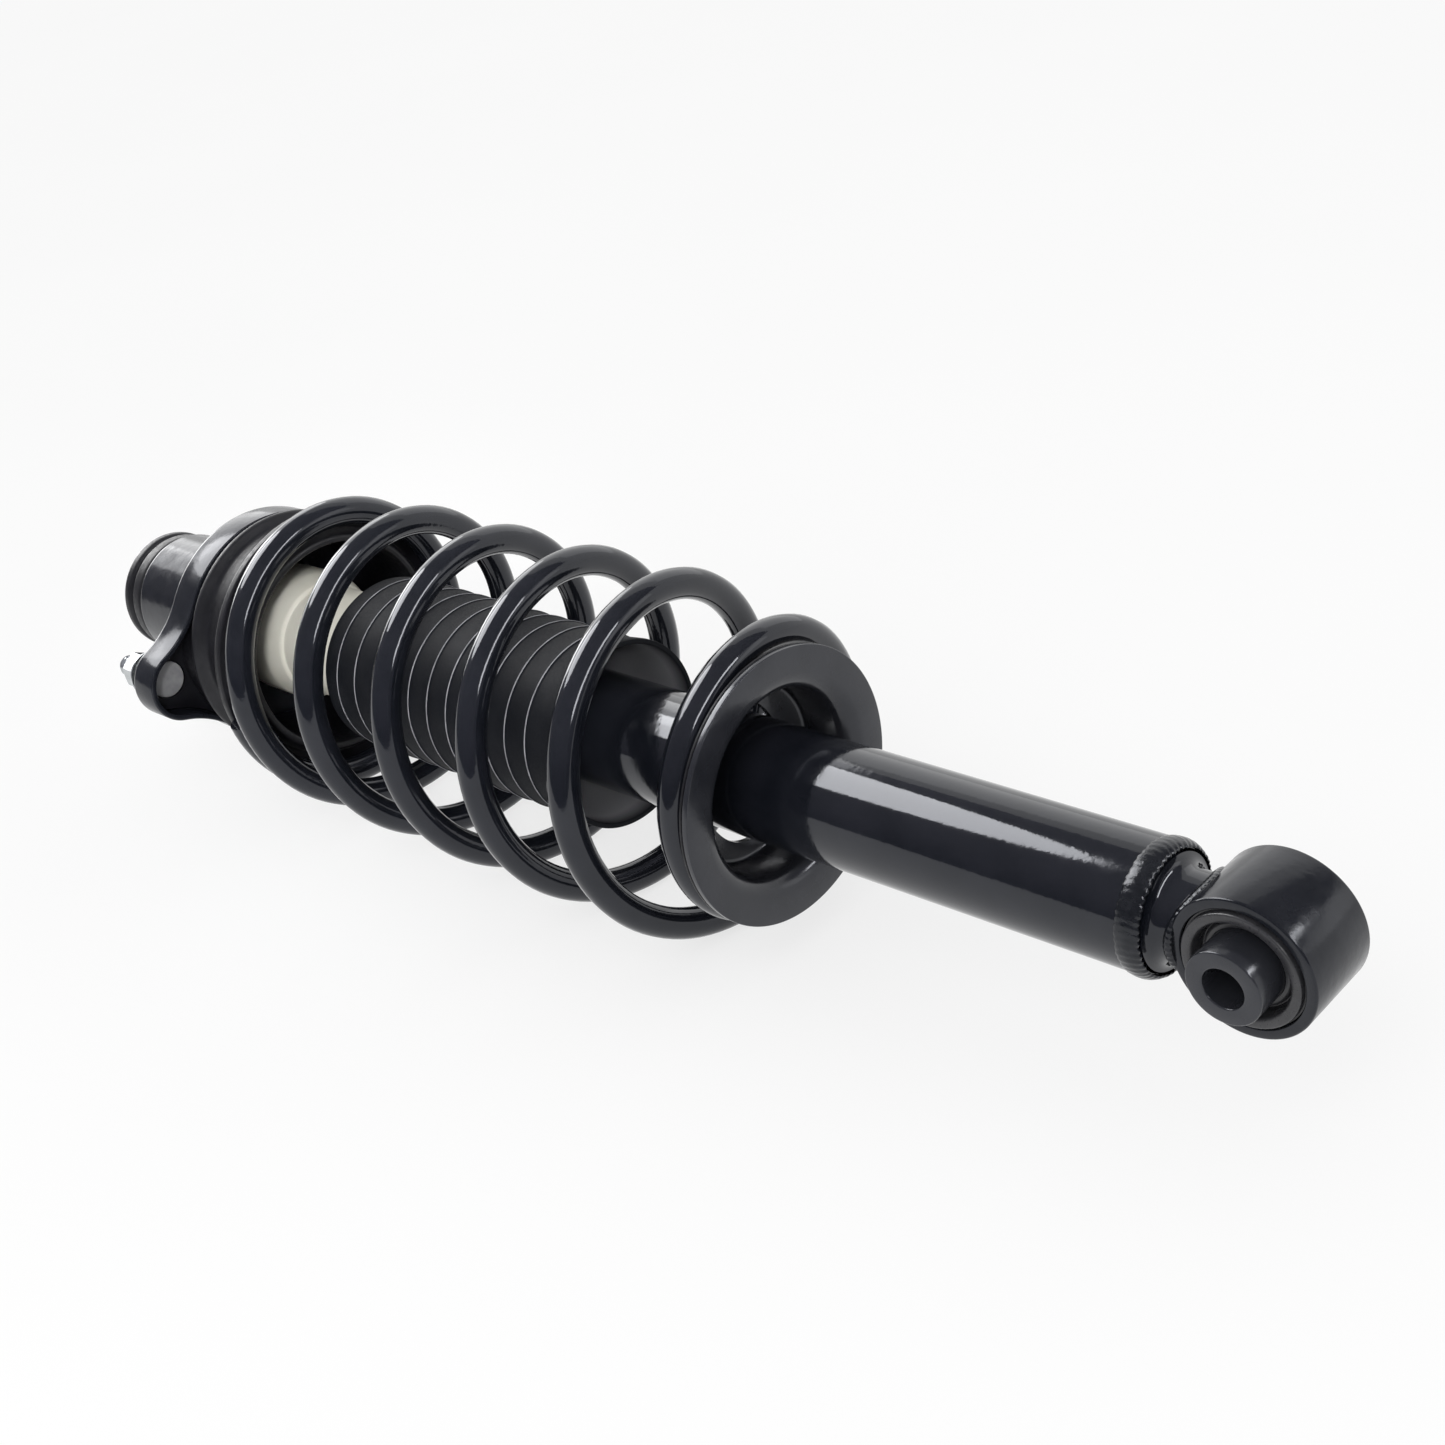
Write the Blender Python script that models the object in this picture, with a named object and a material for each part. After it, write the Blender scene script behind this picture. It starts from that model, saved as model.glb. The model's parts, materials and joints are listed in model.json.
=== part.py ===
"""Rear suspension strut: twin-tube damper, coil spring, dust boot and two-stud upper mount.

The strut lies on its spring. Every piece is drawn on the strut's own axis, where z is the station, the
distance from the centre of the lower eye towards the upper mount, x is up and y runs along the eye's
bore. One empty lays that axis down along world X, with the eye at +X.
"""

import math

import bmesh
import bpy
import numpy as np

# Clearances
CLEAR = 0.0003
FLOOR_FLAT = 0.0005

# Lower eye
EYE_R = 0.0250
EYE_WALL = 0.0037
EYE_WIDTH = 0.0318
SLEEVE_R = 0.0130
SLEEVE_BORE_R = 0.0071
SLEEVE_LENGTH = 0.0530
SLEEVE_CHAMFER = 0.0004
BUSH_LIP = 0.0012
BUSH_GROOVE = 0.0045
BUSH_WALL_LIP = 0.0040

# Damper tube and its base
TUBE_R = 0.0225
TUBE_WALL = 0.0020
TUBE_LENGTH = 0.3065
TUBE_LIP = 0.0050
NECK_R = 0.0155
NECK_LENGTH = 0.0085
NECK_FILLET = 0.0055
BASE_PLUG = 0.0070
BASE_WELD_RISE = 0.0013
BASE_WELD_WIDTH = 0.0090
EYE_WELD_LEG = 0.0030

# Pieces inside the tube
PRESSURE_R = 0.0160
PRESSURE_WALL = 0.0013
VALVE_FLANGE = 0.0050
VALVE_PLUG = 0.0100
VALVE_HOLE_R = 0.0030
GUIDE_HEIGHT = 0.0085
GUIDE_SPIGOT = 0.0100
GUIDE_BUSH_WALL = 0.0015
SEAL_HEIGHT = 0.0060
BUMP_CAP_WALL = 0.0016
BUMP_CAP_SKIRT = 0.0120
BUMP_CAP_HOLE_GAP = 0.0025

# Lower spring perch
PERCH_STATION = 0.1955
PERCH_R = 0.0530
PERCH_SHEET = 0.0026
PERCH_POCKET_R = 0.0355
PERCH_POCKET_DEPTH = 0.0260
PERCH_LIP_R = 0.0050
PERCH_WINDOW = 0.0095
PERCH_WELD_LEG = 0.0032
PERCH_WELD_ANGLE = math.radians(64)
PAD_HEIGHT = 0.0010
PAD_RING = 0.0110

# Coil spring, with turns counted from the top of the first free coil
WIRE_R = 0.0062
COIL_R = 0.0640
COIL_R_LOW = 0.0475
COIL_R_HIGH = 0.0605
COIL_PITCH = 0.0517
COIL_FREE_TURNS = 5
COIL_STEPS = 24
COIL_START = -16.5 / COIL_STEPS
COIL_END = COIL_FREE_TURNS + 17.5 / COIL_STEPS
COIL_EASE = 0.15
COIL_GROW = (-0.35, 0.55)
COIL_SHRINK = (4.55, 5.05)

# Piston rod and piston
ROD_R = 0.0070
ROD_THREAD_R = 0.0060
ROD_TAIL_R = 0.0047
PISTON_GAP = 0.0004
PISTON_HEIGHT = 0.0120
PISTON_BAND_HEIGHT = 0.0080
PISTON_BAND_DEPTH = 0.0012
VALVE_DISC = 0.0008
VALVE_DISC_R = 0.0105
PISTON_NUT_HEIGHT = 0.0095
PISTON_NUT_FLATS = 0.0140
ROD_TAIL_PROUD = 0.0015
REBOUND_STOP_HEIGHT = 0.0040
REBOUND_STOP_WALL = 0.0045

# Upper mount
SHEET = 0.0028
SEAT_HEIGHT = 0.0507
PLATE_R = 0.0533
EAR_R = 0.0170
STUD_SPREAD = 0.0600
STUD_OUTSET = 0.0015
EAR_FILLET = 0.0450
RIM_DEPTH = 0.0168
RIM_WALL = 0.0025
CUP_R = 0.0298
CUP_WALL = 0.0025
CUP_HEIGHT = 0.0634
CUP_LIP = 0.0063
SEAT_WALL = 0.0030
SEAT_FLANGE_R = 0.0615
SEAT_FLANGE = 0.0040
SEAT_PILOT_R = 0.0520
SEAT_PILOT_WALL = 0.0058
SEAT_PILOT = 0.0060
SEAT_WAIST_R = 0.0538
SEAT_RIDGE = 0.0028
EAR_PAD = 0.0022
STUD_R = 0.0050
STUD_HEAD_R = 0.0083
STUD_HEAD = 0.0016
STUD_LENGTH = 0.0318
NUT_FLATS = 0.0150
NUT_HEIGHT = 0.0115
NUT_STAND = 0.0087
NUT_FLANGE_R = 0.0105
NUT_FLANGE = 0.0020

# Rubber core of the mount, washers and cap
WASHER_LOW_R = 0.0250
WASHER_HIGH_R = 0.0175
WASHER = 0.0030
ROD_SHOULDER_DROP = 0.0155
COLLAR_WALL = 0.0044
TOP_NUT_FLATS = 0.0180
TOP_NUT_HEIGHT = 0.0095
TOP_NUT_DROP = 0.0110
THREAD_PROUD = 0.0050
CAP_R = 0.0283
CAP_GROOVE = 0.0020
CAP_HEIGHT = 0.0180
CAP_WALL = 0.0045
CAP_PLUG = 0.0020

# Bump stop and dust boot
STOP_R = 0.0293
STOP_BAND = 0.0220
STOP_CHAMFER = 0.0080
STOP_NECK_R = 0.0262
STOP_BODY_R = 0.0245
STOP_LENGTH = 0.0980
STOP_TIP_R = 0.0150
STOP_TIP = 0.0140
STOP_GROOVE_DROP = 0.0763
STOP_GROOVE_R = 0.0210
BOOT_TOP = 0.0035
BOOT_SHOULDER = 0.0065
BOOT_R = 0.0378
BOOT_RIB = 0.0018
BOOT_RIBS = 11
BOOT_RIB_PITCH = 0.0120
BOOT_MOUTH_R = 0.0398
BOOT_SKIRT = 0.0120
BOOT_WALL = 0.0022

# Facets round a turn
FINE = 40
COARSE = 24

# Radii that follow from the sizes above
TUBE_BORE_R = TUBE_R - TUBE_WALL
PRESSURE_BORE_R = PRESSURE_R - PRESSURE_WALL
GUIDE_BUSH_R = ROD_R + CLEAR + GUIDE_BUSH_WALL
CUP_BORE_R = CUP_R - CUP_WALL
EAR_SPREAD = STUD_SPREAD - STUD_OUTSET
SEAT_INSIDE_R = PLATE_R - RIM_WALL - 3 * CLEAR
SEAT_SPIGOT_BORE_R = SEAT_INSIDE_R - SEAT_WALL
SEAT_BORE_R = SEAT_PILOT_R - SEAT_PILOT_WALL
COLLAR_R = ROD_THREAD_R + CLEAR + COLLAR_WALL

# Stations that follow from the sizes above, from the eye upwards
TUBE_BASE = EYE_R + NECK_LENGTH
TUBE_TOP = TUBE_BASE + TUBE_LENGTH
PLUG_TOP = TUBE_BASE + BASE_PLUG
VALVE_TOP = PLUG_TOP + CLEAR + VALVE_FLANGE
SEAL_TOP = TUBE_TOP - TUBE_WALL - CLEAR
SEAL_BASE = SEAL_TOP - SEAL_HEIGHT
GUIDE_TOP = SEAL_BASE - CLEAR
GUIDE_BASE = GUIDE_TOP - GUIDE_HEIGHT
SPIGOT_BASE = GUIDE_BASE - GUIDE_SPIGOT
PERCH_TOP = PERCH_STATION + PERCH_SHEET
PAD_BASE = PERCH_TOP + CLEAR
COIL_LOW = PAD_BASE + PAD_HEIGHT + CLEAR + WIRE_R
COIL_HIGH = COIL_LOW + COIL_PITCH * COIL_FREE_TURNS
SEAT_BASE = COIL_HIGH + WIRE_R + CLEAR
PLATE_BASE = SEAT_BASE + SEAT_HEIGHT
PLATE_TOP = PLATE_BASE + SHEET
RIM_EDGE = PLATE_TOP - RIM_DEPTH
CUP_END = PLATE_TOP + CUP_HEIGHT
CAP_END = CUP_END + CLEAR + CAP_HEIGHT
ROD_SHOULDER = PLATE_BASE - ROD_SHOULDER_DROP
CORE_BASE = ROD_SHOULDER + WASHER + 2 * CLEAR
NUT_TOP = CUP_END - CUP_WALL + TOP_NUT_HEIGHT - TOP_NUT_DROP
CORE_TOP = NUT_TOP - TOP_NUT_HEIGHT - WASHER - 2 * CLEAR
ROD_END = NUT_TOP + THREAD_PROUD
STOP_TOP = ROD_SHOULDER
STOP_GROOVE = STOP_TOP - STOP_GROOVE_DROP
REBOUND_TOP = SPIGOT_BASE - CLEAR
PISTON_SHOULDER = REBOUND_TOP - REBOUND_STOP_HEIGHT - CLEAR
PISTON_TOP = PISTON_SHOULDER - 2 * CLEAR - VALVE_DISC
PISTON_BASE = PISTON_TOP - PISTON_HEIGHT
PISTON_NUT_TOP = PISTON_BASE - 2 * CLEAR - VALVE_DISC
PISTON_NUT_BASE = PISTON_NUT_TOP - PISTON_NUT_HEIGHT
ROD_TAIL = PISTON_NUT_BASE - ROD_TAIL_PROUD

# Where the strut's axis lies in the world
AXIS_X = (CAP_END - EYE_R) / 2
AXIS_Z = COIL_R + WIRE_R - FLOOR_FLAT

# Finishes: colour, roughness, metallic value
FINISHES = {
    "black_paint": ((0.012, 0.012, 0.014), 0.20, 0.0),
    "bead": ((0.015, 0.015, 0.017), 0.35, 0.0),
    "rubber": ((0.020, 0.020, 0.022), 0.62, 0.0),
    "boot_rubber": ((0.030, 0.032, 0.035), 0.50, 0.0),
    "cream_foam": ((0.720, 0.700, 0.610), 0.55, 0.0),
    "zinc": ((0.620, 0.630, 0.640), 0.32, 1.0),
    "steel": ((0.480, 0.480, 0.490), 0.30, 1.0),
    "chrome": ((0.700, 0.700, 0.710), 0.08, 1.0),
    "brass": ((0.560, 0.420, 0.180), 0.35, 1.0),
    "resin": ((0.180, 0.170, 0.150), 0.45, 0.0),
}


def clear_scene():
    for old in list(bpy.data.objects):
        bpy.data.objects.remove(old, do_unlink=True)


def lay_down():
    axis = bpy.data.objects.new("strut_axis", None)
    axis.location = (AXIS_X, 0.0, AXIS_Z)
    axis.rotation_euler = (0.0, -math.pi / 2, 0.0)
    bpy.context.scene.collection.objects.link(axis)
    return axis


def paint(obj, finish):
    colour, roughness, metallic = FINISHES[finish]
    material = bpy.data.materials.new(obj.name)
    material.use_nodes = True
    shader = material.node_tree.nodes["Principled BSDF"]
    shader.inputs["Base Color"].default_value = (*colour, 1.0)
    shader.inputs["Roughness"].default_value = roughness
    shader.inputs["Metallic"].default_value = metallic
    obj.data.materials.append(material)


def place(name, bm, finish=None):
    """Turns a bmesh into an object on the strut's axis, shaded smooth; no finish means a cutter."""
    bmesh.ops.remove_doubles(bm, verts=bm.verts[:], dist=1e-7)
    bmesh.ops.recalc_face_normals(bm, faces=bm.faces[:])
    mesh = bpy.data.meshes.new(name)
    bm.to_mesh(mesh)
    bm.free()
    mesh.shade_smooth()
    mesh.set_sharp_from_angle(angle=math.radians(35))
    obj = bpy.data.objects.new(name, mesh)
    obj.parent = AXIS
    bpy.context.scene.collection.objects.link(obj)
    if finish:
        paint(obj, finish)
    else:
        obj.hide_render = True
        obj.display_type = "WIRE"
    return obj


def across(obj):
    """Turns a piece from the strut's axis to the axis of the eye's bore."""
    obj.rotation_euler = (-math.pi / 2, 0.0, 0.0)
    return obj


def turned(name, profile, finish=None, facets=COARSE, sweep=2 * math.pi, start=0.0):
    """Spins a profile of (radius, station) points about the axis; a part turn gets closed ends."""
    whole = sweep == 2 * math.pi
    bm = bmesh.new()
    corners = [bm.verts.new((r * math.cos(start), r * math.sin(start), z)) for r, z in profile]
    for first, second in zip(corners, corners[1:] + corners[:1]):
        bm.edges.new((first, second))
    geometry = bm.verts[:] + bm.edges[:]
    bmesh.ops.spin(bm, geom=geometry, axis=(0, 0, 1), cent=(0, 0, 0), angle=sweep, steps=facets,
                   use_merge=whole)
    if not whole:
        ends = [edge for edge in bm.edges if edge.is_boundary]
        bmesh.ops.holes_fill(bm, edges=ends, sides=0)
    bmesh.ops.dissolve_degenerate(bm, dist=1e-8, edges=bm.edges[:])
    return place(name, bm, finish)


def ring(name, inner, outer, base, top, finish=None, facets=COARSE):
    return turned(name, [(outer, base), (outer, top), (inner, top), (inner, base)], finish, facets)


def prism(name, outline, base, top, finish=None):
    """Raises an outline of (x, y) points from one station to another."""
    bm = bmesh.new()
    floor = bm.faces.new([bm.verts.new((x, y, base)) for x, y in outline])
    raised = bmesh.ops.extrude_face_region(bm, geom=[floor], use_keep_orig=True)
    moved = [item for item in raised["geom"] if isinstance(item, bmesh.types.BMVert)]
    bmesh.ops.translate(bm, verts=moved, vec=(0, 0, top - base))
    return place(name, bm, finish)


def shape_with(target, tool, operation="DIFFERENCE"):
    modifier = target.modifiers.new(tool.name, "BOOLEAN")
    modifier.operation = operation
    modifier.solver = "EXACT"
    modifier.object = tool


def arc(radius, low, high, steps, x=0.0, y=0.0):
    """Points on an arc, with angles in degrees, measured from +x."""
    angles = [math.radians(low + (high - low) * i / steps) for i in range(steps + 1)]
    return [(x + radius * math.cos(a), y + radius * math.sin(a)) for a in angles]


def hexagon(flats):
    return arc(flats / math.sqrt(3), 30, 330, 5)


def shift(obj, y):
    """Moves a piece drawn on the strut's axis out to a stud's axis."""
    obj.location = (0.0, y, 0.0)
    return obj


def bore_cutter(name, radius, base, top):
    """A round cutter that runs past both ends of what it cuts."""
    low = base - SHEET
    high = top + SHEET
    return turned(name, [(0, low), (radius, low), (radius, high), (0, high)])


def round_tool(name, radius, base, top):
    """A round tool for a join or a blind hollow, as long as stated."""
    return turned(name, [(0, base), (radius, base), (radius, top), (0, top)], None, FINE)


def nut(name, flats, bore, base, top, finish):
    shape_with(prism(name, hexagon(flats), base, top, finish), bore_cutter(name + "_bore", bore, base, top))


def lower_eye():
    half = EYE_WIDTH / 2
    across(ring("lower_eye_ring", EYE_R - EYE_WALL, EYE_R, -half, half, "black_paint", FINE))
    inner = SLEEVE_R + CLEAR
    outer = EYE_R - EYE_WALL - CLEAR
    lip = half + BUSH_LIP
    valley = half - BUSH_GROOVE
    shoulder = outer - BUSH_WALL_LIP
    side = [(inner, valley), (shoulder - BUSH_LIP, valley), (shoulder, half), (shoulder + BUSH_LIP, lip),
            (outer - BUSH_LIP, lip), (outer, half - BUSH_LIP)]
    mirrored = [(r, -z) for r, z in reversed(side)]
    across(turned("eye_bush", side + mirrored, "rubber"))
    end = SLEEVE_LENGTH / 2
    bevel = end - SLEEVE_CHAMFER
    profile = [(SLEEVE_R, -bevel), (SLEEVE_R, bevel), (SLEEVE_R - SLEEVE_CHAMFER, end),
               (SLEEVE_BORE_R + SLEEVE_CHAMFER, end), (SLEEVE_BORE_R, bevel), (SLEEVE_BORE_R, -bevel),
               (SLEEVE_BORE_R + SLEEVE_CHAMFER, -end), (SLEEVE_R - SLEEVE_CHAMFER, -end)]
    across(turned("eye_sleeve", profile, "black_paint", FINE))


def tube_base():
    shoulder_r = TUBE_R - CLEAR
    fillet = arc(NECK_FILLET, 180, 90, 4, NECK_R + NECK_FILLET, TUBE_BASE - CLEAR - 2 * NECK_FILLET / 3)
    flare = [(min(r, shoulder_r - CLEAR), z - NECK_FILLET / 3) for r, z in fillet]
    plug_r = TUBE_BORE_R - CLEAR
    profile = [(0, 0), (NECK_R, 0)] + flare + [
        (shoulder_r, TUBE_BASE - CLEAR), (plug_r, TUBE_BASE - CLEAR), (plug_r, PLUG_TOP), (0, PLUG_TOP)]
    cap = turned("base_cap", profile, "black_paint", FINE)
    seat = bore_cutter("eye_seat", EYE_R + CLEAR, -EYE_WIDTH, EYE_WIDTH)
    across(seat)
    shape_with(cap, seat)
    inner = NECK_R + CLEAR
    outer = inner + EYE_WELD_LEG
    root = math.sqrt(EYE_R ** 2 - outer ** 2)
    top = EYE_R + EYE_WELD_LEG / 2
    weld = turned("eye_weld", [(inner, 0), (outer, 0), (outer, root + EYE_WELD_LEG / 2), (inner, top)],
                  "bead", FINE)
    shape_with(weld, seat)
    inner = TUBE_R + CLEAR
    low = TUBE_BASE - BASE_WELD_WIDTH / 6
    crown = arc(1.0, 0, 180, 4)
    bead = [(inner + y * BASE_WELD_RISE, low + (1 - x) * BASE_WELD_WIDTH / 2) for x, y in crown]
    turned("base_weld", bead, "bead", FINE)


def damper():
    lip_r = TUBE_R - TUBE_LIP
    under_lip = TUBE_TOP - TUBE_WALL
    turned("damper_tube", [(TUBE_R, TUBE_BASE), (TUBE_R, under_lip), (TUBE_BORE_R, TUBE_TOP),
                           (lip_r, TUBE_TOP), (lip_r, under_lip), (TUBE_BORE_R, under_lip),
                           (TUBE_BORE_R, TUBE_BASE)], "black_paint", FINE)
    ring("pressure_tube", PRESSURE_BORE_R, PRESSURE_R, VALVE_TOP + CLEAR, GUIDE_BASE - CLEAR, "steel")
    plug_r = PRESSURE_BORE_R - CLEAR
    turned("base_valve", [(PRESSURE_R, PLUG_TOP + CLEAR), (PRESSURE_R, VALVE_TOP), (plug_r, VALVE_TOP),
                          (plug_r, VALVE_TOP + VALVE_PLUG), (VALVE_HOLE_R, VALVE_TOP + VALVE_PLUG),
                          (VALVE_HOLE_R, PLUG_TOP + CLEAR)], "steel")
    guide_r = TUBE_BORE_R - CLEAR
    guide_bore = GUIDE_BUSH_R + CLEAR
    turned("rod_guide", [(guide_r, GUIDE_BASE), (guide_r, GUIDE_TOP), (guide_bore, GUIDE_TOP),
                         (guide_bore, SPIGOT_BASE), (plug_r, SPIGOT_BASE), (plug_r, GUIDE_BASE)], "steel")
    ring("rod_guide_bush", ROD_R + CLEAR, GUIDE_BUSH_R, SPIGOT_BASE, GUIDE_TOP, "brass")
    ring("oil_seal", ROD_R + CLEAR, guide_r, SEAL_BASE, SEAL_TOP, "rubber")
    inner = TUBE_R + CLEAR
    outer = inner + BUMP_CAP_WALL
    floor = TUBE_TOP + CLEAR
    hole = ROD_R + BUMP_CAP_HOLE_GAP
    turned("bump_cap", [(outer, floor - BUMP_CAP_SKIRT), (outer, floor + BUMP_CAP_WALL),
                        (hole, floor + BUMP_CAP_WALL), (hole, floor), (inner, floor),
                        (inner, floor - BUMP_CAP_SKIRT)], "steel")


def spring_perch():
    bore = TUBE_R + CLEAR
    wall = PERCH_POCKET_R + PERCH_SHEET
    floor = PERCH_STATION + PERCH_POCKET_DEPTH
    bend = PERCH_LIP_R + PERCH_SHEET
    inside = arc(bend, 270, 180, 4, PERCH_POCKET_R + bend, PERCH_STATION + bend)
    outside = arc(PERCH_LIP_R, 180, 270, 4, wall + PERCH_LIP_R, PERCH_TOP + PERCH_LIP_R)
    profile = [(PERCH_R, PERCH_STATION)] + inside + [
        (PERCH_POCKET_R, floor - PERCH_SHEET), (bore, floor - PERCH_SHEET), (bore, floor), (wall, floor)]
    perch = turned("lower_spring_perch", profile + outside + [(PERCH_R, PERCH_TOP)], "black_paint", FINE)
    reach = bore + PERCH_WINDOW
    oval = [(x * reach, y * (TUBE_R - CLEAR)) for x, y in arc(1.0, 0, 345, 23)]
    shape_with(perch, prism("perch_windows", oval, floor - 2 * PERCH_SHEET, floor + PERCH_SHEET))
    base = floor + CLEAR
    toe = bore + PERCH_WELD_LEG
    for side, heading in (("near", -math.pi / 2), ("far", math.pi / 2)):
        turned("perch_weld_" + side, [(bore, base), (toe, base), (bore, base + PERCH_WELD_LEG)], "bead",
               FINE // 5, PERCH_WELD_ANGLE, heading - PERCH_WELD_ANGLE / 2)
    ring("lower_spring_pad", PERCH_R - PAD_RING, PERCH_R, PAD_BASE, PAD_BASE + PAD_HEIGHT, "rubber", FINE)


def smooth(value, low, high):
    share = min(max((value - low) / (high - low), 0.0), 1.0)
    return share * share * (3 - 2 * share)


def climb(turn):
    """Turns climbed so far: flat on both seats, steady between them, eased where it lifts off."""
    if abs(turn) < COIL_EASE:
        return (turn + COIL_EASE) ** 2 / (4 * COIL_EASE)
    if abs(turn - COIL_FREE_TURNS) < COIL_EASE:
        return COIL_FREE_TURNS - (COIL_FREE_TURNS + COIL_EASE - turn) ** 2 / (4 * COIL_EASE)
    return min(max(turn, 0.0), COIL_FREE_TURNS)


def coil_point(turn):
    radius = COIL_R_LOW + (COIL_R - COIL_R_LOW) * smooth(turn, *COIL_GROW)
    radius -= (COIL_R - COIL_R_HIGH) * smooth(turn, *COIL_SHRINK)
    radius /= math.cos(math.pi / COIL_STEPS)
    angle = 2 * math.pi * turn
    return (radius * math.cos(angle), radius * math.sin(angle), COIL_LOW + COIL_PITCH * climb(turn))


def coil_spring():
    count = round((COIL_END - COIL_START) * COIL_STEPS) + 1
    points = [coil_point(COIL_START + i / COIL_STEPS) for i in range(count)]
    wire = bpy.data.curves.new("coil_wire", "CURVE")
    wire.dimensions = "3D"
    wire.twist_mode = "Z_UP"
    wire.bevel_depth = WIRE_R
    wire.bevel_resolution = 1
    wire.use_fill_caps = True
    spline = wire.splines.new("POLY")
    spline.points.add(count - 1)
    for knot, point in zip(spline.points, points):
        knot.co = (*point, 1.0)
    guide = bpy.data.objects.new("coil_wire", wire)
    bm = bmesh.new()
    bm.from_mesh(bpy.data.meshes.new_from_object(guide))
    bpy.data.objects.remove(guide)
    spring = place("coil_spring", bm, "black_paint")
    below = -AXIS_Z
    deep = below - COIL_R
    wide = 2 * COIL_R
    slab = [(below, -wide), (below, wide), (deep, wide), (deep, -wide)]
    shape_with(spring, prism("floor_cut", slab, COIL_LOW, COIL_HIGH))
    line = np.array(points)
    apart = np.linalg.norm(line[:, None] - line[None], axis=2)
    steps = np.abs(np.arange(count)[:, None] - np.arange(count)[None])
    least = apart[steps >= COIL_STEPS // 2].min() - 2 * WIRE_R
    print("coil_spring least gap to itself, mm:", round(1000 * least, 2))


def rod_and_piston():
    turned("piston_rod", [(0, ROD_TAIL), (ROD_TAIL_R, ROD_TAIL), (ROD_TAIL_R, PISTON_SHOULDER),
                          (ROD_R, PISTON_SHOULDER), (ROD_R, ROD_SHOULDER), (ROD_THREAD_R, ROD_SHOULDER),
                          (ROD_THREAD_R, ROD_END), (0, ROD_END)], "chrome")
    tail = ROD_TAIL_R + CLEAR
    skirt = PRESSURE_BORE_R - PISTON_GAP
    groove = skirt - PISTON_BAND_DEPTH - CLEAR
    middle = (PISTON_TOP + PISTON_BASE) / 2
    low = middle - PISTON_BAND_HEIGHT / 2 - CLEAR
    high = middle + PISTON_BAND_HEIGHT / 2 + CLEAR
    turned("piston", [(skirt, PISTON_BASE), (skirt, low), (groove, low), (groove, high), (skirt, high),
                      (skirt, PISTON_TOP), (tail, PISTON_TOP), (tail, PISTON_BASE)], "steel")
    ring("piston_band", groove + CLEAR, skirt, low + CLEAR, high - CLEAR, "resin")
    disc = PISTON_TOP + CLEAR
    ring("rebound_valve_disc", tail, VALVE_DISC_R, disc, disc + VALVE_DISC, "steel")
    disc = PISTON_NUT_TOP + CLEAR
    ring("compression_valve_disc", tail, VALVE_DISC_R, disc, disc + VALVE_DISC, "steel")
    nut("piston_nut", PISTON_NUT_FLATS, tail, PISTON_NUT_BASE, PISTON_NUT_TOP, "steel")
    inner = ROD_R + CLEAR
    outer = inner + REBOUND_STOP_WALL
    ring("rebound_stop", inner, outer, REBOUND_TOP - REBOUND_STOP_HEIGHT, REBOUND_TOP, "resin")


def stop_and_boot():
    bore = ROD_R + 2 * CLEAR
    band = STOP_TOP - STOP_BAND
    neck = band - STOP_CHAMFER
    groove_low = STOP_GROOVE - BOOT_TOP / 2 - CLEAR
    groove_high = STOP_GROOVE + BOOT_TOP / 2 + CLEAR
    tip = STOP_TOP - STOP_LENGTH
    turned("bump_stop", [(STOP_R, STOP_TOP), (STOP_R, band), (STOP_NECK_R, neck), (STOP_BODY_R, neck),
                         (STOP_BODY_R, groove_high), (STOP_GROOVE_R, groove_high),
                         (STOP_GROOVE_R, groove_low), (STOP_BODY_R, groove_low),
                         (STOP_BODY_R, tip + STOP_TIP), (STOP_TIP_R, tip), (bore, tip), (bore, STOP_TOP)],
           "cream_foam")
    top = STOP_GROOVE + BOOT_TOP / 2
    base = STOP_GROOVE - BOOT_TOP / 2
    valley = BOOT_R - BOOT_RIB
    shoulder = arc(BOOT_SHOULDER, 90, 0, 3, valley - BOOT_SHOULDER, top - BOOT_SHOULDER)
    ribs = []
    for i in range(BOOT_RIBS):
        crest = top - BOOT_SHOULDER - BOOT_RIB_PITCH * (i + 0.5)
        ribs += [(BOOT_R, crest), (valley, crest - BOOT_RIB_PITCH / 2)]
    skirt = ribs[-1][1] - BOOT_SKIRT
    bore = valley - BOOT_WALL
    mouth = BOOT_MOUTH_R - BOOT_WALL
    hole = STOP_GROOVE_R + CLEAR
    turned("dust_boot", [(hole, base), (hole, top)] + shoulder + ribs + [
        (BOOT_MOUTH_R, skirt), (mouth, skirt), (bore, skirt + BOOT_SKIRT), (bore, base - BOOT_SHOULDER),
        (bore - BOOT_SHOULDER, base)], "boot_rubber")


def plate_outline(inset):
    """Round plate with two ears, as four concave fillets between arcs; an inset keeps all the centres."""
    body = PLATE_R + EAR_FILLET
    ear = EAR_R + EAR_FILLET
    reach = (EAR_SPREAD ** 2 + body ** 2 - ear ** 2) / (2 * EAR_SPREAD)
    height = math.sqrt(body ** 2 - reach ** 2)
    at_body = math.degrees(math.atan2(height, reach))
    at_ear = math.degrees(math.atan2(height, reach - EAR_SPREAD))
    quarter = arc(EAR_R - inset, 0, at_ear, 4, EAR_SPREAD)
    quarter += arc(EAR_FILLET + inset, 180 + at_ear, 180 + at_body, 4, reach, height)[1:]
    quarter += arc(PLATE_R - inset, at_body, 90, 5)[1:]
    half = quarter + [(-x, y) for x, y in reversed(quarter[:-1])]
    whole = half + [(x, -y) for x, y in reversed(half[1:-1])]
    return [(y, x) for x, y in reversed(whole)]


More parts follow.
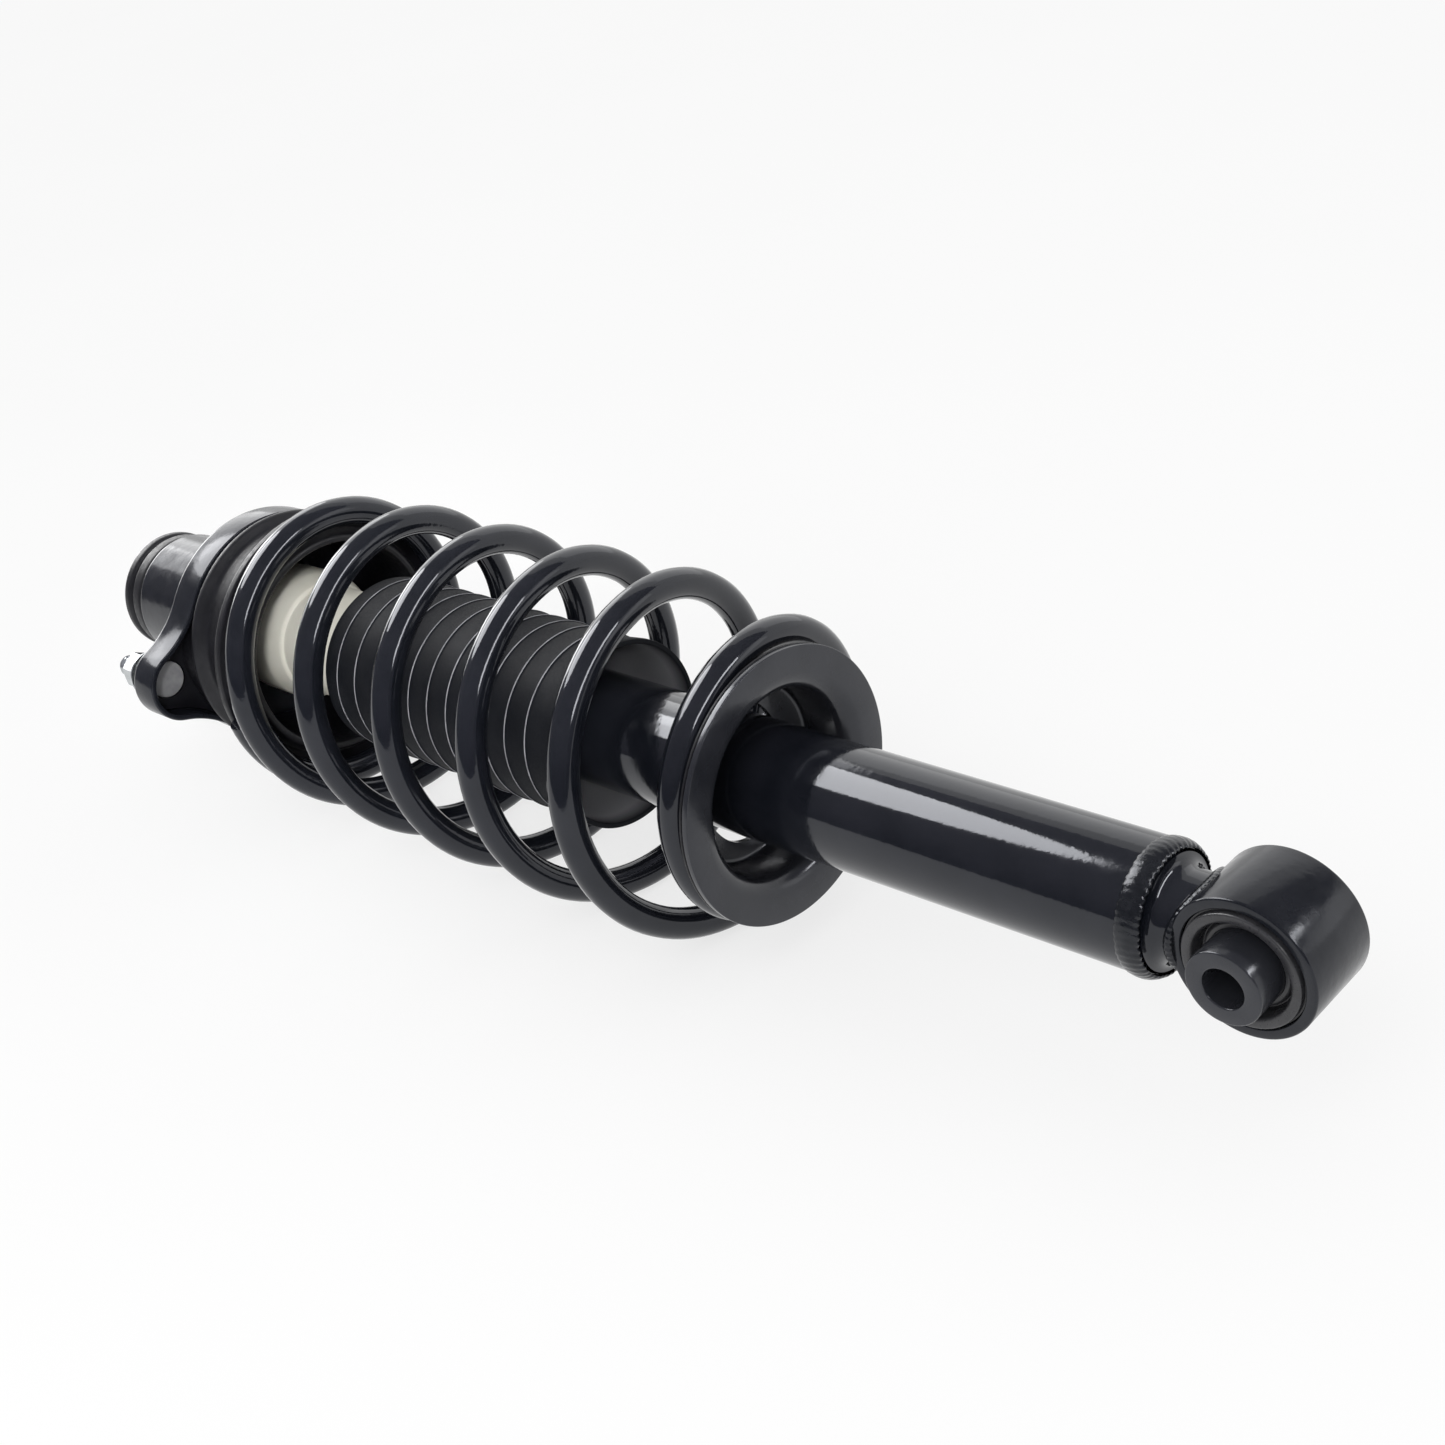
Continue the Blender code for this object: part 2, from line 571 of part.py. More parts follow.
def mount_plate():
    plate = prism("mount_plate", plate_outline(0.0), RIM_EDGE, PLATE_TOP, "black_paint")
    shape_with(plate, round_tool("cup_wall", CUP_R, PLATE_BASE, CUP_END), "UNION")
    shape_with(plate, prism("plate_hollow", plate_outline(RIM_WALL), RIM_EDGE - SHEET, PLATE_BASE))
    shape_with(plate, round_tool("cup_hollow", CUP_BORE_R, PLATE_BASE - SHEET, CUP_END - CUP_WALL))
    shape_with(plate, bore_cutter("cup_mouth", CUP_BORE_R - CUP_LIP, CUP_END - CUP_WALL, CUP_END))
    for side, y in STUD_SIDES:
        hole = bore_cutter("stud_hole_" + side, STUD_R + CLEAR, PLATE_BASE, PLATE_TOP)
        shape_with(plate, shift(hole, y))


def upper_seat():
    inside = SEAT_INSIDE_R
    top = PLATE_BASE - CLEAR
    step = top - EAR_PAD / 2
    rim = RIM_EDGE - SEAT_RIDGE
    waist = SEAT_WAIST_R
    flange = SEAT_BASE + SEAT_FLANGE
    middle = (flange + rim) / 2
    bulge = waist + SEAT_RIDGE / 2
    profile = [(SEAT_SPIGOT_BORE_R, step), (inside, step), (inside, rim), (bulge, rim - SEAT_RIDGE),
               (bulge, rim - 2 * SEAT_RIDGE), (waist, rim - 4 * SEAT_RIDGE), (waist, middle),
               (SEAT_PILOT_R, flange + SEAT_FLANGE), (SEAT_FLANGE_R, flange), (SEAT_FLANGE_R, SEAT_BASE),
               (SEAT_PILOT_R, SEAT_BASE), (SEAT_PILOT_R - SEAT_RIDGE, SEAT_BASE - SEAT_PILOT),
               (SEAT_BORE_R, SEAT_BASE - SEAT_PILOT), (SEAT_BORE_R, middle), (SEAT_SPIGOT_BORE_R, rim)]
    seat = turned("upper_spring_seat", profile, "rubber", FINE)
    pad = prism("ear_pads", plate_outline(RIM_WALL + CLEAR), top - EAR_PAD, top)
    shape_with(pad, bore_cutter("ear_pad_bore", SEAT_SPIGOT_BORE_R + 3 * CLEAR, top - EAR_PAD, top))
    shape_with(seat, pad, "UNION")
    for side, y in STUD_SIDES:
        hole = bore_cutter("head_hole_" + side, STUD_HEAD_R + CLEAR, top - EAR_PAD, top)
        shape_with(seat, shift(hole, y))


def studs_and_nuts():
    head_top = PLATE_BASE - CLEAR
    head_base = head_top - STUD_HEAD
    tip = head_top + STUD_LENGTH
    base = PLATE_TOP + NUT_STAND
    top = base + NUT_HEIGHT
    for side, y in STUD_SIDES:
        stud = turned("mount_stud_" + side, [(0, head_base), (STUD_HEAD_R, head_base),
                                             (STUD_HEAD_R, head_top), (STUD_R, head_top),
                                             (STUD_R, tip), (0, tip)], "zinc")
        body = prism("flange_nut_" + side, hexagon(NUT_FLATS), base + NUT_FLANGE / 2, top, "zinc")
        flange = round_tool("nut_flange_" + side, NUT_FLANGE_R, base, base + NUT_FLANGE)
        bore = bore_cutter("nut_bore_" + side, STUD_R + CLEAR, base, top)
        for piece in (stud, body, flange, bore):
            shift(piece, y)
        shape_with(body, flange, "UNION")
        shape_with(body, bore)


def mount_core():
    thread = ROD_THREAD_R + CLEAR
    washer = ROD_SHOULDER + CLEAR
    ring("lower_mount_washer", thread, WASHER_LOW_R, washer, washer + WASHER, "steel")
    ring("mount_collar", thread, COLLAR_R, CORE_BASE, CORE_TOP, "steel")
    washer = CORE_TOP + CLEAR
    ring("upper_mount_washer", thread, WASHER_HIGH_R, washer, washer + WASHER, "zinc")
    nut("top_nut", TOP_NUT_FLATS, thread, NUT_TOP - TOP_NUT_HEIGHT, NUT_TOP, "zinc")
    bore = COLLAR_R + CLEAR
    outer = CUP_BORE_R - CLEAR
    middle = (CORE_BASE + CORE_TOP) / 2
    ring("lower_mount_rubber", bore, outer, CORE_BASE + CLEAR, middle - CLEAR, "rubber")
    top = CUP_END - CUP_WALL - CLEAR
    pocket = WASHER_HIGH_R + CLEAR
    turned("upper_mount_rubber", [(outer, middle), (outer, top), (pocket, top), (pocket, CORE_TOP),
                                  (bore, CORE_TOP), (bore, middle)], "rubber")


def top_cap():
    base = CUP_END + CLEAR
    plug_r = CUP_BORE_R - CUP_LIP - CLEAR
    hollow_r = plug_r - CAP_WALL / 2
    groove_r = CAP_R - CAP_GROOVE
    lip = CAP_HEIGHT / 4
    low = [(r, base + lip + z) for r, z in arc(lip - CAP_GROOVE, -90, 90, 4, CAP_R - lip + CAP_GROOVE)]
    high = [(r, z + 2 * lip) for r, z in low]
    dome = [(plug_r, CAP_END - CAP_GROOVE / 2), (hollow_r / 2, CAP_END), (0, CAP_END)]
    roof = CAP_END - CAP_WALL
    profile = [(plug_r, base - CAP_PLUG), (plug_r, base), (groove_r, base)] + low
    profile += [(groove_r, base + 2 * lip)] + high + dome
    profile += [(0, roof), (hollow_r, roof), (hollow_r, base - CAP_PLUG)]
    turned("top_cap", profile, "rubber", FINE)


STUD_SIDES = (("near", -STUD_SPREAD), ("far", STUD_SPREAD))

clear_scene()
AXIS = lay_down()
lower_eye()
tube_base()
damper()
spring_perch()
coil_spring()
rod_and_piston()
stop_and_boot()
mount_plate()
upper_seat()
studs_and_nuts()
mount_core()
top_cap()
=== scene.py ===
"""Looks of the rear suspension strut: smooth pieces, finishes, studio light and the photograph's view.

The strut lies along X with the lower eye at +X. A turned piece is a wire of (place along the axis, radius,
rounding) corners that is spun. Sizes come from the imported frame's boxes; what a box can't tell is named
here, in metres.
"""

import json
import math

import bmesh
import bpy
from mathutils import Matrix, Vector


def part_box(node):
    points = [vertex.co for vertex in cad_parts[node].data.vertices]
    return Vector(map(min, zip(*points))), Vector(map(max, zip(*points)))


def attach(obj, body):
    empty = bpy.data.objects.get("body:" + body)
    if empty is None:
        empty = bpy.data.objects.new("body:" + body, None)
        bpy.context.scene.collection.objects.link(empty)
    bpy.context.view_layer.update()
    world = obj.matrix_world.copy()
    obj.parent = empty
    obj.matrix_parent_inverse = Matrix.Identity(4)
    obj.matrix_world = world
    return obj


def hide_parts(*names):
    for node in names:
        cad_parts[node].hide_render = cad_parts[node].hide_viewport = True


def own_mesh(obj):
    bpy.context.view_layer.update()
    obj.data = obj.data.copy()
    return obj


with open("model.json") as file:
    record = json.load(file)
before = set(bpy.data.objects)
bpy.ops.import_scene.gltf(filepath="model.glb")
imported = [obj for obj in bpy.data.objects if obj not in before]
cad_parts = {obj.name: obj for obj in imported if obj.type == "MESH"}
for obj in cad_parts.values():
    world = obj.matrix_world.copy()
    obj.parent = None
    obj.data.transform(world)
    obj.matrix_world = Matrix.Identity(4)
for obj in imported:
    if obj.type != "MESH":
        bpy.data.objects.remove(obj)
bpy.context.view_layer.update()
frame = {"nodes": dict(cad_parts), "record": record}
RECORD = frame["record"]
BODY_OF = {node: body for body, nodes in RECORD["behaviour"]["bodies"].items() for node in nodes}
SLOT_OF = {part["node"]: part["material_slot"] for part in RECORD["subparts"]}

# How finely pieces are drawn
SMOOTH = 128
SMALL_STEPS = 48
NUT_STEPS = 120
ROUND_STEPS = 4
BEND_STEPS = 6
EAR_STEPS = 16
FILLET_STEPS = 14
SHARP = math.radians(32)
MERGE = 1e-6
GAP = 0.0003

# Roundings of corners, from keen to wide
KEEN = 0.0003
CRISP = 0.0004
NEAT = 0.0005
FINE = 0.0006
SLIGHT = 0.0008
SMALL = 0.0010
SOFT = 0.0012
EASY = 0.0015
MILD = 0.0016
ROUND = 0.0020
FULL = 0.0025
BROAD = 0.0030
WIDE = 0.0040

# Lower eye
RING_EDGE = 0.0009
SLEEVE_BORE_R = 0.0071
BUSH_LIP_R = 0.0186
BUSH_LIP_WIDTH = 0.0036
BUSH_LIP_SLOPE = 0.0010
BUSH_VALLEY = 0.0057
BUSH_COLLAR = 0.0016
BUSH_GROOVE = 0.0007
BUSH_GROOVE_RISE = 0.0030

# Base of the tube
NECK_R = 0.0155
NECK_FILLET = 0.0050
NECK_REACH = 0.0050
BASE_FACE = 0.0011
BASE_PLUG = 0.0030
BASE_SHOULDER = 0.0013
TUBE_WALL = 0.0020
TUBE_LIP = 0.0050
TUBE_TAPER = 0.0024
TUBE_TAPER_DROP = 0.0016

# Weld beads: a ripple is a wave round the bead, a nick one along its edges, and the base bead keeps a
# share of its solid's height and falls off past its level part
EYE_BEAD_R = 0.0018
EYE_BEAD_SIDES = 12
EYE_BEAD_SWELL = 0.05
EYE_BEAD_SLANT = 700
WELD_RIPPLES = 54
WELD_RIPPLE = 0.00005
WELD_EDGE = 0.00035
BEAD_SHARE = 0.5
BEAD_POINTS = 24
BEAD_FULLNESS = 0.35
BEAD_LEVEL = 0.2
BEAD_SLANT = 2.6
BEAD_DRIFT = 0.7
BEAD_DRIFTS = 5
BEAD_NICK = 0.4
BEAD_NICKS = 17

# Perch
PERCH_SHEET = 0.0026
POCKET_R = 0.0355
PERCH_LIP_R = 0.0076
PERCH_HEEL_R = 0.0042
WINDOW_UP = 0.0288
WINDOW_SIDE = 0.0222
PAD_WIDTH = 0.0110
PERCH_BEAD_TOE = 0.0004
PERCH_BEAD_RIPPLE = 0.00015
PERCH_BEAD_RIPPLES = 60

# Coil spring, with its places in turns
WIRE_R = 0.0062
WIRE_ROUND = 6
COIL_R = 0.0635
COIL_R_LOW = 0.0475
COIL_R_HIGH = 0.0603
COIL_PITCH = 0.0517
COIL_TURNS = 5
COIL_START = -16.5 / 24
COIL_END = COIL_TURNS + 17.5 / 24
COIL_EASE = 0.15
COIL_GROW = (-0.35, 0.55)
COIL_SHRINK = (4.55, 5.05)
COIL_STEPS = 96

# Dust boot and bump stop
BOOT_BAND_R = 0.0369
BOOT_RIDGE = 0.0007
BOOT_RIDGE_HALF = 0.0009
BOOT_RIBS = 11
BOOT_PITCH = 0.0120
BOOT_SHOULDER = 0.0065
BOOT_SKIRT = 0.0120
BOOT_WALL = 0.0022
BOOT_TOP = 0.0035
BOOT_TOP_SLOPE = 0.0030
BOOT_HOLE_R = 0.0213
BOOT_MOUTH_R = 0.0382
BOOT_LIP = 0.0012
BOOT_LIP_DROP = 0.0002
STOP_BAND = 0.0220
STOP_NECK = 0.0300
STOP_NECK_R = 0.0262
STOP_BODY_R = 0.0245
STOP_GROOVE_R = 0.0210
STOP_GROOVE_HALF = 0.0020
STOP_TIP = 0.0140
STOP_TIP_R = 0.0150
STOP_BORE_R = 0.0076

# Upper mount
PLATE_R = 0.0533
EAR_R = 0.0170
EAR_SPREAD = 0.0585
STUD_SPREAD = 0.0600
EAR_FILLET = 0.0450
SHEET = 0.0025
RIM_DEPTH = 0.0168
RIM_BEND = 0.0032
CUP_R = 0.0298
CUP_ROOT = 0.0030
CUP_BEND = 0.0028
CUP_MOUTH_R = 0.0210
SEAT_BORE_R = 0.0462
SEAT_WAIST_R = 0.0500
SEAT_PILOT_R = 0.0520
SEAT_FLANGE = 0.0040
SEAT_PILOT = 0.0060
SEAT_RIDGE = 0.0028
SEAT_RIDGE_END = 1.4 * SEAT_RIDGE
SEAT_BULGE = 1.7 * SEAT_RIDGE
SEAT_WAIST_START = 2.4 * SEAT_RIDGE
EAR_PAD = 0.0022
STUD_R = 0.0050
STUD_POINT = 0.0010
STUD_POINT_DROP = 0.0012
STUD_HEAD_R = 0.0083
STUD_HEAD = 0.0016
THREAD_PITCH = 0.0015
THREAD_DEPTH = 0.0009
THREAD_STEPS = 6
NUT_FLATS = 0.0150
NUT_FLANGE = 0.0020
NUT_FOOT = 0.0006
NUT_CHAMFER = 0.0008
NUT_CROWN = 0.0022
NUT_CROWN_STEPS = 8
NUT_CONE_DROP = 0.0003
NUT_CONE_SLOPE = 1.7
CAP_GROOVE_R = 0.0263
CAP_NECK_R = 0.0206
CAP_DOME_RISE = 0.0016
CAP_CROWN = 0.0004

# Places down the top cap, in quarters of its height
CAP_BAND = (0.35, 1.65)
CAP_GROOVE = (2.0, 2.2)
CAP_RIM = (2.4, 3.4)
CAP_DOME = 3.75

# Tint of the black paints' gloss
PAINT_SHEEN = (0.92, 0.94, 1.0, 1.0)

# Floor, how far it is lifted to white, and the world's fill
FLOOR_HALF = 6.0
FLOOR_WHITE = 0.72
WORLD_FILL = 0.85

# Dark vault: its radius, (place along X, degrees up from +Y) of its far edge, and its shades by height
ROOM_R = 2.2
ROOM_EDGE = ((-4.0, 62), (-0.4, 62), (1.0, 28), (4.0, 28))
ROOM_STEPS = 24
ROOM_HEIGHTS = (0.2, 2.0)
ROOM_SHADES = ((0.16, 0.16, 0.19), (0.40, 0.40, 0.45))

# Lamps that only reflections see: name, place, target, long side, short side, radiance and shape
REFLECTED_LAMPS = (
    ("key", (-1.45, -0.22, 1.63), (0.1, 0.0, 0.09), 1.35, 1.35, 9.0, "DISK"),
    ("halo", (-1.60, 0.45, 0.95), (0.0, 0.0, 0.09), 1.45, 1.45, 2.5, "DISK"),
    ("back", (-0.90, 1.70, 0.90), (0.0, 0.0, 0.07), 2.60, 1.30, 0.5, "RECTANGLE"),
    ("edge", (1.69, 1.40, 0.60), (0.3, 0.0, 0.07), 0.95, 0.95, 0.6, "DISK"),
    ("side", (-1.95, 0.22, 0.42), (0.0, 0.0, 0.12), 0.65, 0.72, 5.0, "RECTANGLE"),
    ("front", (1.30, 0.23, 0.80), (0.0, 0.0, 0.12), 1.20, 0.20, 12.0, "RECTANGLE"),
)

# Lamps that reflections don't see: a soft one for the form, and a narrow one that reaches between the coils
FORM_LAMP = ("form", (0.40, -1.00, 1.10), (-0.10, 0.0, 0.07), 1.00, 1.00, 2.2, "RECTANGLE")
SPOT_PLACE = (0.62, -0.55, 0.60)
SPOT_TARGET = (-0.165, -0.01, 0.075)
SPOT_WATTS = 100.0
SPOT_SIZE = math.radians(8)
SPOT_SOFT = 0.12

# The photograph's view: lens and sensor in millimetres, the camera's axes, and its place from the eye
VIEW_LENS = 52.0
VIEW_SENSOR = 36.0
VIEW_RIGHT = (0.7204, 0.6681, -0.1862)
VIEW_UP = (-0.2194, 0.4742, 0.8526)
VIEW_BACK = (0.6579, -0.5734, 0.4882)
VIEW_FROM_EYE = (0.2816, -0.4407, 0.3953)
VIEW_NEAR = 0.01


def reach(node):
    """Ends along X, and radius about the strut's axis, of a CAD node."""
    low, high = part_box(node)
    return low[0], high[0], high[1]


RING_LOW, RING_HIGH = (Vector(corner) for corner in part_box("lower_eye_ring"))
EYE_CENTRE = (RING_LOW + RING_HIGH) / 2
EYE_R = (RING_HIGH.x - RING_LOW.x) / 2
AXIS_Z = EYE_CENTRE.z
STRUT = Matrix.Translation((0, 0, AXIS_Z))
EYE = Matrix.Translation(EYE_CENTRE) @ Matrix.Rotation(math.pi / 2, 4, "Z")


def started(name):
    """A new material, its node tree, its shader and its object coordinates."""
    made = bpy.data.materials.new(name)
    made.use_nodes = True
    tree = made.node_tree
    coords = tree.nodes.new("ShaderNodeTexCoord")
    return made, tree, tree.nodes["Principled BSDF"], coords.outputs["Object"]


def noise(tree, coords, scale, detail=3.0):
    node = tree.nodes.new("ShaderNodeTexNoise")
    node.inputs["Scale"].default_value = scale
    node.inputs["Detail"].default_value = detail
    tree.links.new(coords, node.inputs["Vector"])
    return node.outputs[0]


def ramp(tree, factor, low, high, start=0.35, end=0.65):
    """Runs from one grey or colour to another as a factor goes from start to end."""
    node = tree.nodes.new("ShaderNodeValToRGB")
    first, second = node.color_ramp.elements
    first.position, second.position = start, end
    first.color = (*low, 1.0) if isinstance(low, tuple) else (low, low, low, 1.0)
    second.color = (*high, 1.0) if isinstance(high, tuple) else (high, high, high, 1.0)
    tree.links.new(factor, node.inputs["Fac"])
    return node.outputs["Color"]


def bumped(tree, shader, height, strength, distance):
    node = tree.nodes.new("ShaderNodeBump")
    node.inputs["Strength"].default_value = strength
    node.inputs["Distance"].default_value = distance
    tree.links.new(height, node.inputs["Height"])
    tree.links.new(node.outputs["Normal"], shader.inputs["Normal"])


def product(tree, first, second):
    node = tree.nodes.new("ShaderNodeMath")
    node.operation = "MULTIPLY"
    tree.links.new(first, node.inputs[0])
    tree.links.new(second, node.inputs[1])
    return node.outputs[0]


def specks(tree, coords, scale, size, share):
    """1 in the specks that a share of small cells hold, and 0 between them."""
    cells = tree.nodes.new("ShaderNodeTexVoronoi")
    cells.inputs["Scale"].default_value = scale
    tree.links.new(coords, cells.inputs["Vector"])
    near = tree.nodes.new("ShaderNodeMath")
    near.operation = "LESS_THAN"
    near.inputs[1].default_value = size
    tree.links.new(cells.outputs["Distance"], near.inputs[0])
    picked = tree.nodes.new("ShaderNodeMath")
    picked.operation = "LESS_THAN"
    picked.inputs[1].default_value = share
    tree.links.new(cells.outputs["Color"], picked.inputs[0])
    return product(tree, near.outputs[0], picked.outputs[0])


def off_axis(tree, coords):
    """Distance from the strut's axis."""
    centred = tree.nodes.new("ShaderNodeVectorMath")
    centred.operation = "SUBTRACT"
    centred.inputs[1].default_value = (0.0, 0.0, AXIS_Z)
    tree.links.new(coords, centred.inputs[0])
    flat = tree.nodes.new("ShaderNodeVectorMath")
    flat.operation = "MULTIPLY"
    flat.inputs[1].default_value = (0.0, 1.0, 1.0)
    tree.links.new(centred.outputs[0], flat.inputs[0])
    length = tree.nodes.new("ShaderNodeVectorMath")
    length.operation = "LENGTH"
    tree.links.new(flat.outputs[0], length.inputs[0])
    return length.outputs["Value"]


def stretched(tree, value, low, high):
    """Runs from 0 to 1 as a value goes from low to high."""
    node = tree.nodes.new("ShaderNodeMapRange")
    node.inputs["From Min"].default_value = low
    node.inputs["From Max"].default_value = high
    tree.links.new(value, node.inputs["Value"])
    return node.outputs["Result"]


def blended(tree, factor, first, second):
    node = tree.nodes.new("ShaderNodeMix")
    node.data_type = "RGBA"
    tree.links.new(factor, node.inputs["Factor"])
    tree.links.new(first, node.inputs["A"])
    node.inputs["B"].default_value = (*second, 1.0)
    return node.outputs["Result"]


def gloss_paint():
    made, tree, shader, coords = started("black_paint")
    shade = ramp(tree, noise(tree, coords, 60), (0.006, 0.007, 0.010), (0.010, 0.011, 0.015))
    dusty = blended(tree, specks(tree, coords, 170, 0.10, 0.02), shade, (0.30, 0.30, 0.30))
    tree.links.new(dusty, shader.inputs["Base Color"])
    tree.links.new(ramp(tree, noise(tree, coords, 140), 0.06, 0.10), shader.inputs["Roughness"])
    shader.inputs["IOR"].default_value = 1.5
    shader.inputs["Specular Tint"].default_value = PAINT_SHEEN
    bumped(tree, shader, noise(tree, coords, 420, 2.0), 0.06, 0.0004)
    return made


def pressed_paint():
    made, tree, shader, coords = started("pressed_paint")
    shade = ramp(tree, noise(tree, coords, 60), (0.007, 0.008, 0.011), (0.012, 0.013, 0.017))
    dusty = blended(tree, specks(tree, coords, 240, 0.12, 0.03), shade, (0.22, 0.22, 0.22))
    tree.links.new(dusty, shader.inputs["Base Color"])
    tree.links.new(ramp(tree, noise(tree, coords, 180), 0.13, 0.22), shader.inputs["Roughness"])
    shader.inputs["IOR"].default_value = 1.5
    shader.inputs["Specular IOR Level"].default_value = 0.36
    shader.inputs["Specular Tint"].default_value = PAINT_SHEEN
    bumped(tree, shader, noise(tree, coords, 260, 3.0), 0.16, 0.0005)
    return made


def satin_paint():
    made, tree, shader, coords = started("satin_paint")
    shade = ramp(tree, noise(tree, coords, 60), (0.016, 0.017, 0.021), (0.023, 0.024, 0.029))
    dusty = blended(tree, specks(tree, coords, 200, 0.10, 0.02), shade, (0.24, 0.24, 0.24))
    tree.links.new(dusty, shader.inputs["Base Color"])
    tree.links.new(ramp(tree, noise(tree, coords, 160), 0.14, 0.21), shader.inputs["Roughness"])
    shader.inputs["IOR"].default_value = 1.5
    shader.inputs["Specular Tint"].default_value = PAINT_SHEEN
    bumped(tree, shader, noise(tree, coords, 420, 2.0), 0.08, 0.0004)
    return made


def bead_paint():
    made, tree, shader, coords = started("weld_bead")
    shade = ramp(tree, noise(tree, coords, 300), (0.005, 0.006, 0.008), (0.011, 0.012, 0.015))
    tree.links.new(shade, shader.inputs["Base Color"])
    tree.links.new(ramp(tree, noise(tree, coords, 900), 0.10, 0.22), shader.inputs["Roughness"])
    shader.inputs["IOR"].default_value = 1.5
    shader.inputs["Specular IOR Level"].default_value = 0.4
    shader.inputs["Specular Tint"].default_value = PAINT_SHEEN
    bumped(tree, shader, noise(tree, coords, 1100, 4.0), 0.35, 0.0003)
    return made


def rubber():
    made, tree, shader, coords = started("rubber")
    shade = ramp(tree, noise(tree, coords, 90), (0.006, 0.006, 0.008), (0.010, 0.010, 0.013))
    dusty = blended(tree, specks(tree, coords, 260, 0.10, 0.03), shade, (0.12, 0.12, 0.12))
    tree.links.new(dusty, shader.inputs["Base Color"])
    tree.links.new(ramp(tree, noise(tree, coords, 500), 0.34, 0.50), shader.inputs["Roughness"])
    shader.inputs["IOR"].default_value = 1.5
    shader.inputs["Specular IOR Level"].default_value = 0.4
    bumped(tree, shader, noise(tree, coords, 1800, 4.0), 0.25, 0.0002)
    return made


def bush_rubber():
    made, tree, shader, coords = started("bush_rubber")
    shade = ramp(tree, noise(tree, coords, 150), (0.024, 0.024, 0.027), (0.036, 0.036, 0.040))
    tree.links.new(shade, shader.inputs["Base Color"])
    tree.links.new(ramp(tree, noise(tree, coords, 700), 0.26, 0.40), shader.inputs["Roughness"])
    shader.inputs["IOR"].default_value = 1.5
    bumped(tree, shader, noise(tree, coords, 2000, 3.0), 0.15, 0.0002)
    return made


def boot_rubber():
    made, tree, shader, coords = started("boot_rubber")
    shade = ramp(tree, noise(tree, coords, 70), (0.006, 0.007, 0.010), (0.010, 0.011, 0.014))
    # The inside face is painted a lighter grey: painted light for the light that reaches into the boot,
    # fading in across the wall.
    skin = BOOT_BAND_R - 0.4 * BOOT_WALL
    painted_light_r = BOOT_BAND_R - 0.8 * BOOT_WALL
    inner = stretched(tree, off_axis(tree, coords), skin, painted_light_r)
    tree.links.new(blended(tree, inner, shade, (0.30, 0.30, 0.32)), shader.inputs["Base Color"])
    tree.links.new(ramp(tree, noise(tree, coords, 1500), 0.50, 0.64), shader.inputs["Roughness"])
    shader.inputs["IOR"].default_value = 1.5
    shader.inputs["Specular IOR Level"].default_value = 0.10
    bumped(tree, shader, noise(tree, coords, 2600, 3.0), 0.30, 0.0002)
    return made


# Light grey for the ribs' crests: a painted highlight, the bright lines that the ridges catch.
def boot_crest_highlight():
    made, tree, shader, coords = started("boot_crest_highlight")
    shade = ramp(tree, noise(tree, coords, 160), (0.24, 0.24, 0.26), (0.38, 0.38, 0.41))
    tree.links.new(shade, shader.inputs["Base Color"])
    tree.links.new(ramp(tree, noise(tree, coords, 1500), 0.50, 0.64), shader.inputs["Roughness"])
    shader.inputs["Specular IOR Level"].default_value = 0.10
    return made


def cream_foam():
    made, tree, shader, coords = started("cream_foam")
    shade = ramp(tree, noise(tree, coords, 45), (0.78, 0.76, 0.66), (0.85, 0.83, 0.74))
    tree.links.new(shade, shader.inputs["Base Color"])
    tree.links.new(ramp(tree, noise(tree, coords, 400), 0.45, 0.60), shader.inputs["Roughness"])
    bumped(tree, shader, noise(tree, coords, 900, 4.0), 0.12, 0.0002)
    return made


def metal(name, low, high, rough_low, rough_high, scale, metallic=1.0):
    """A metal whose tone and polish drift over its surface; a dull plating is less than all metallic."""
    made, tree, shader, coords = started(name)
    tree.links.new(ramp(tree, noise(tree, coords, scale), low, high), shader.inputs["Base Color"])
    polish = ramp(tree, noise(tree, coords, 3 * scale), rough_low, rough_high)
    tree.links.new(polish, shader.inputs["Roughness"])
    shader.inputs["Metallic"].default_value = metallic
    bumped(tree, shader, noise(tree, coords, 6 * scale, 2.0), 0.03, 0.0002)
    return made


def bolt_grey():
    made, tree, shader, coords = started("bolt_grey")
    shade = ramp(tree, noise(tree, coords, 260), (0.24, 0.24, 0.25), (0.30, 0.30, 0.31))
    tree.links.new(shade, shader.inputs["Base Color"])
    tree.links.new(ramp(tree, noise(tree, coords, 900), 0.36, 0.48), shader.inputs["Roughness"])
    bumped(tree, shader, noise(tree, coords, 1200, 3.0), 0.10, 0.0002)
    return made


def resin():
    made, tree, shader, coords = started("resin")
    shade = ramp(tree, noise(tree, coords, 200), (0.15, 0.14, 0.12), (0.20, 0.19, 0.17))
    tree.links.new(shade, shader.inputs["Base Color"])
    tree.links.new(ramp(tree, noise(tree, coords, 700), 0.40, 0.55), shader.inputs["Roughness"])
    return made


PAINTS = {
    "black_paint": gloss_paint(),
    "pressed_paint": pressed_paint(),
    "satin_paint": satin_paint(),
    "weld_bead": bead_paint(),
    "rubber": rubber(),
    "bush_rubber": bush_rubber(),
    "boot_rubber": boot_rubber(),
    "boot_crest_highlight": boot_crest_highlight(),
    "cream_foam": cream_foam(),
    "zinc": metal("zinc", (0.48, 0.50, 0.51), (0.56, 0.58, 0.59), 0.15, 0.22, 300, 0.9),
    "bolt_grey": bolt_grey(),
    "steel": metal("steel", (0.42, 0.42, 0.43), (0.52, 0.52, 0.53), 0.26, 0.38, 250),
    "chrome": metal("chrome", (0.66, 0.66, 0.67), (0.72, 0.72, 0.73), 0.05, 0.10, 80),
    "brass": metal("brass", (0.50, 0.37, 0.15), (0.60, 0.45, 0.20), 0.28, 0.40, 300),
    "resin": resin(),
}


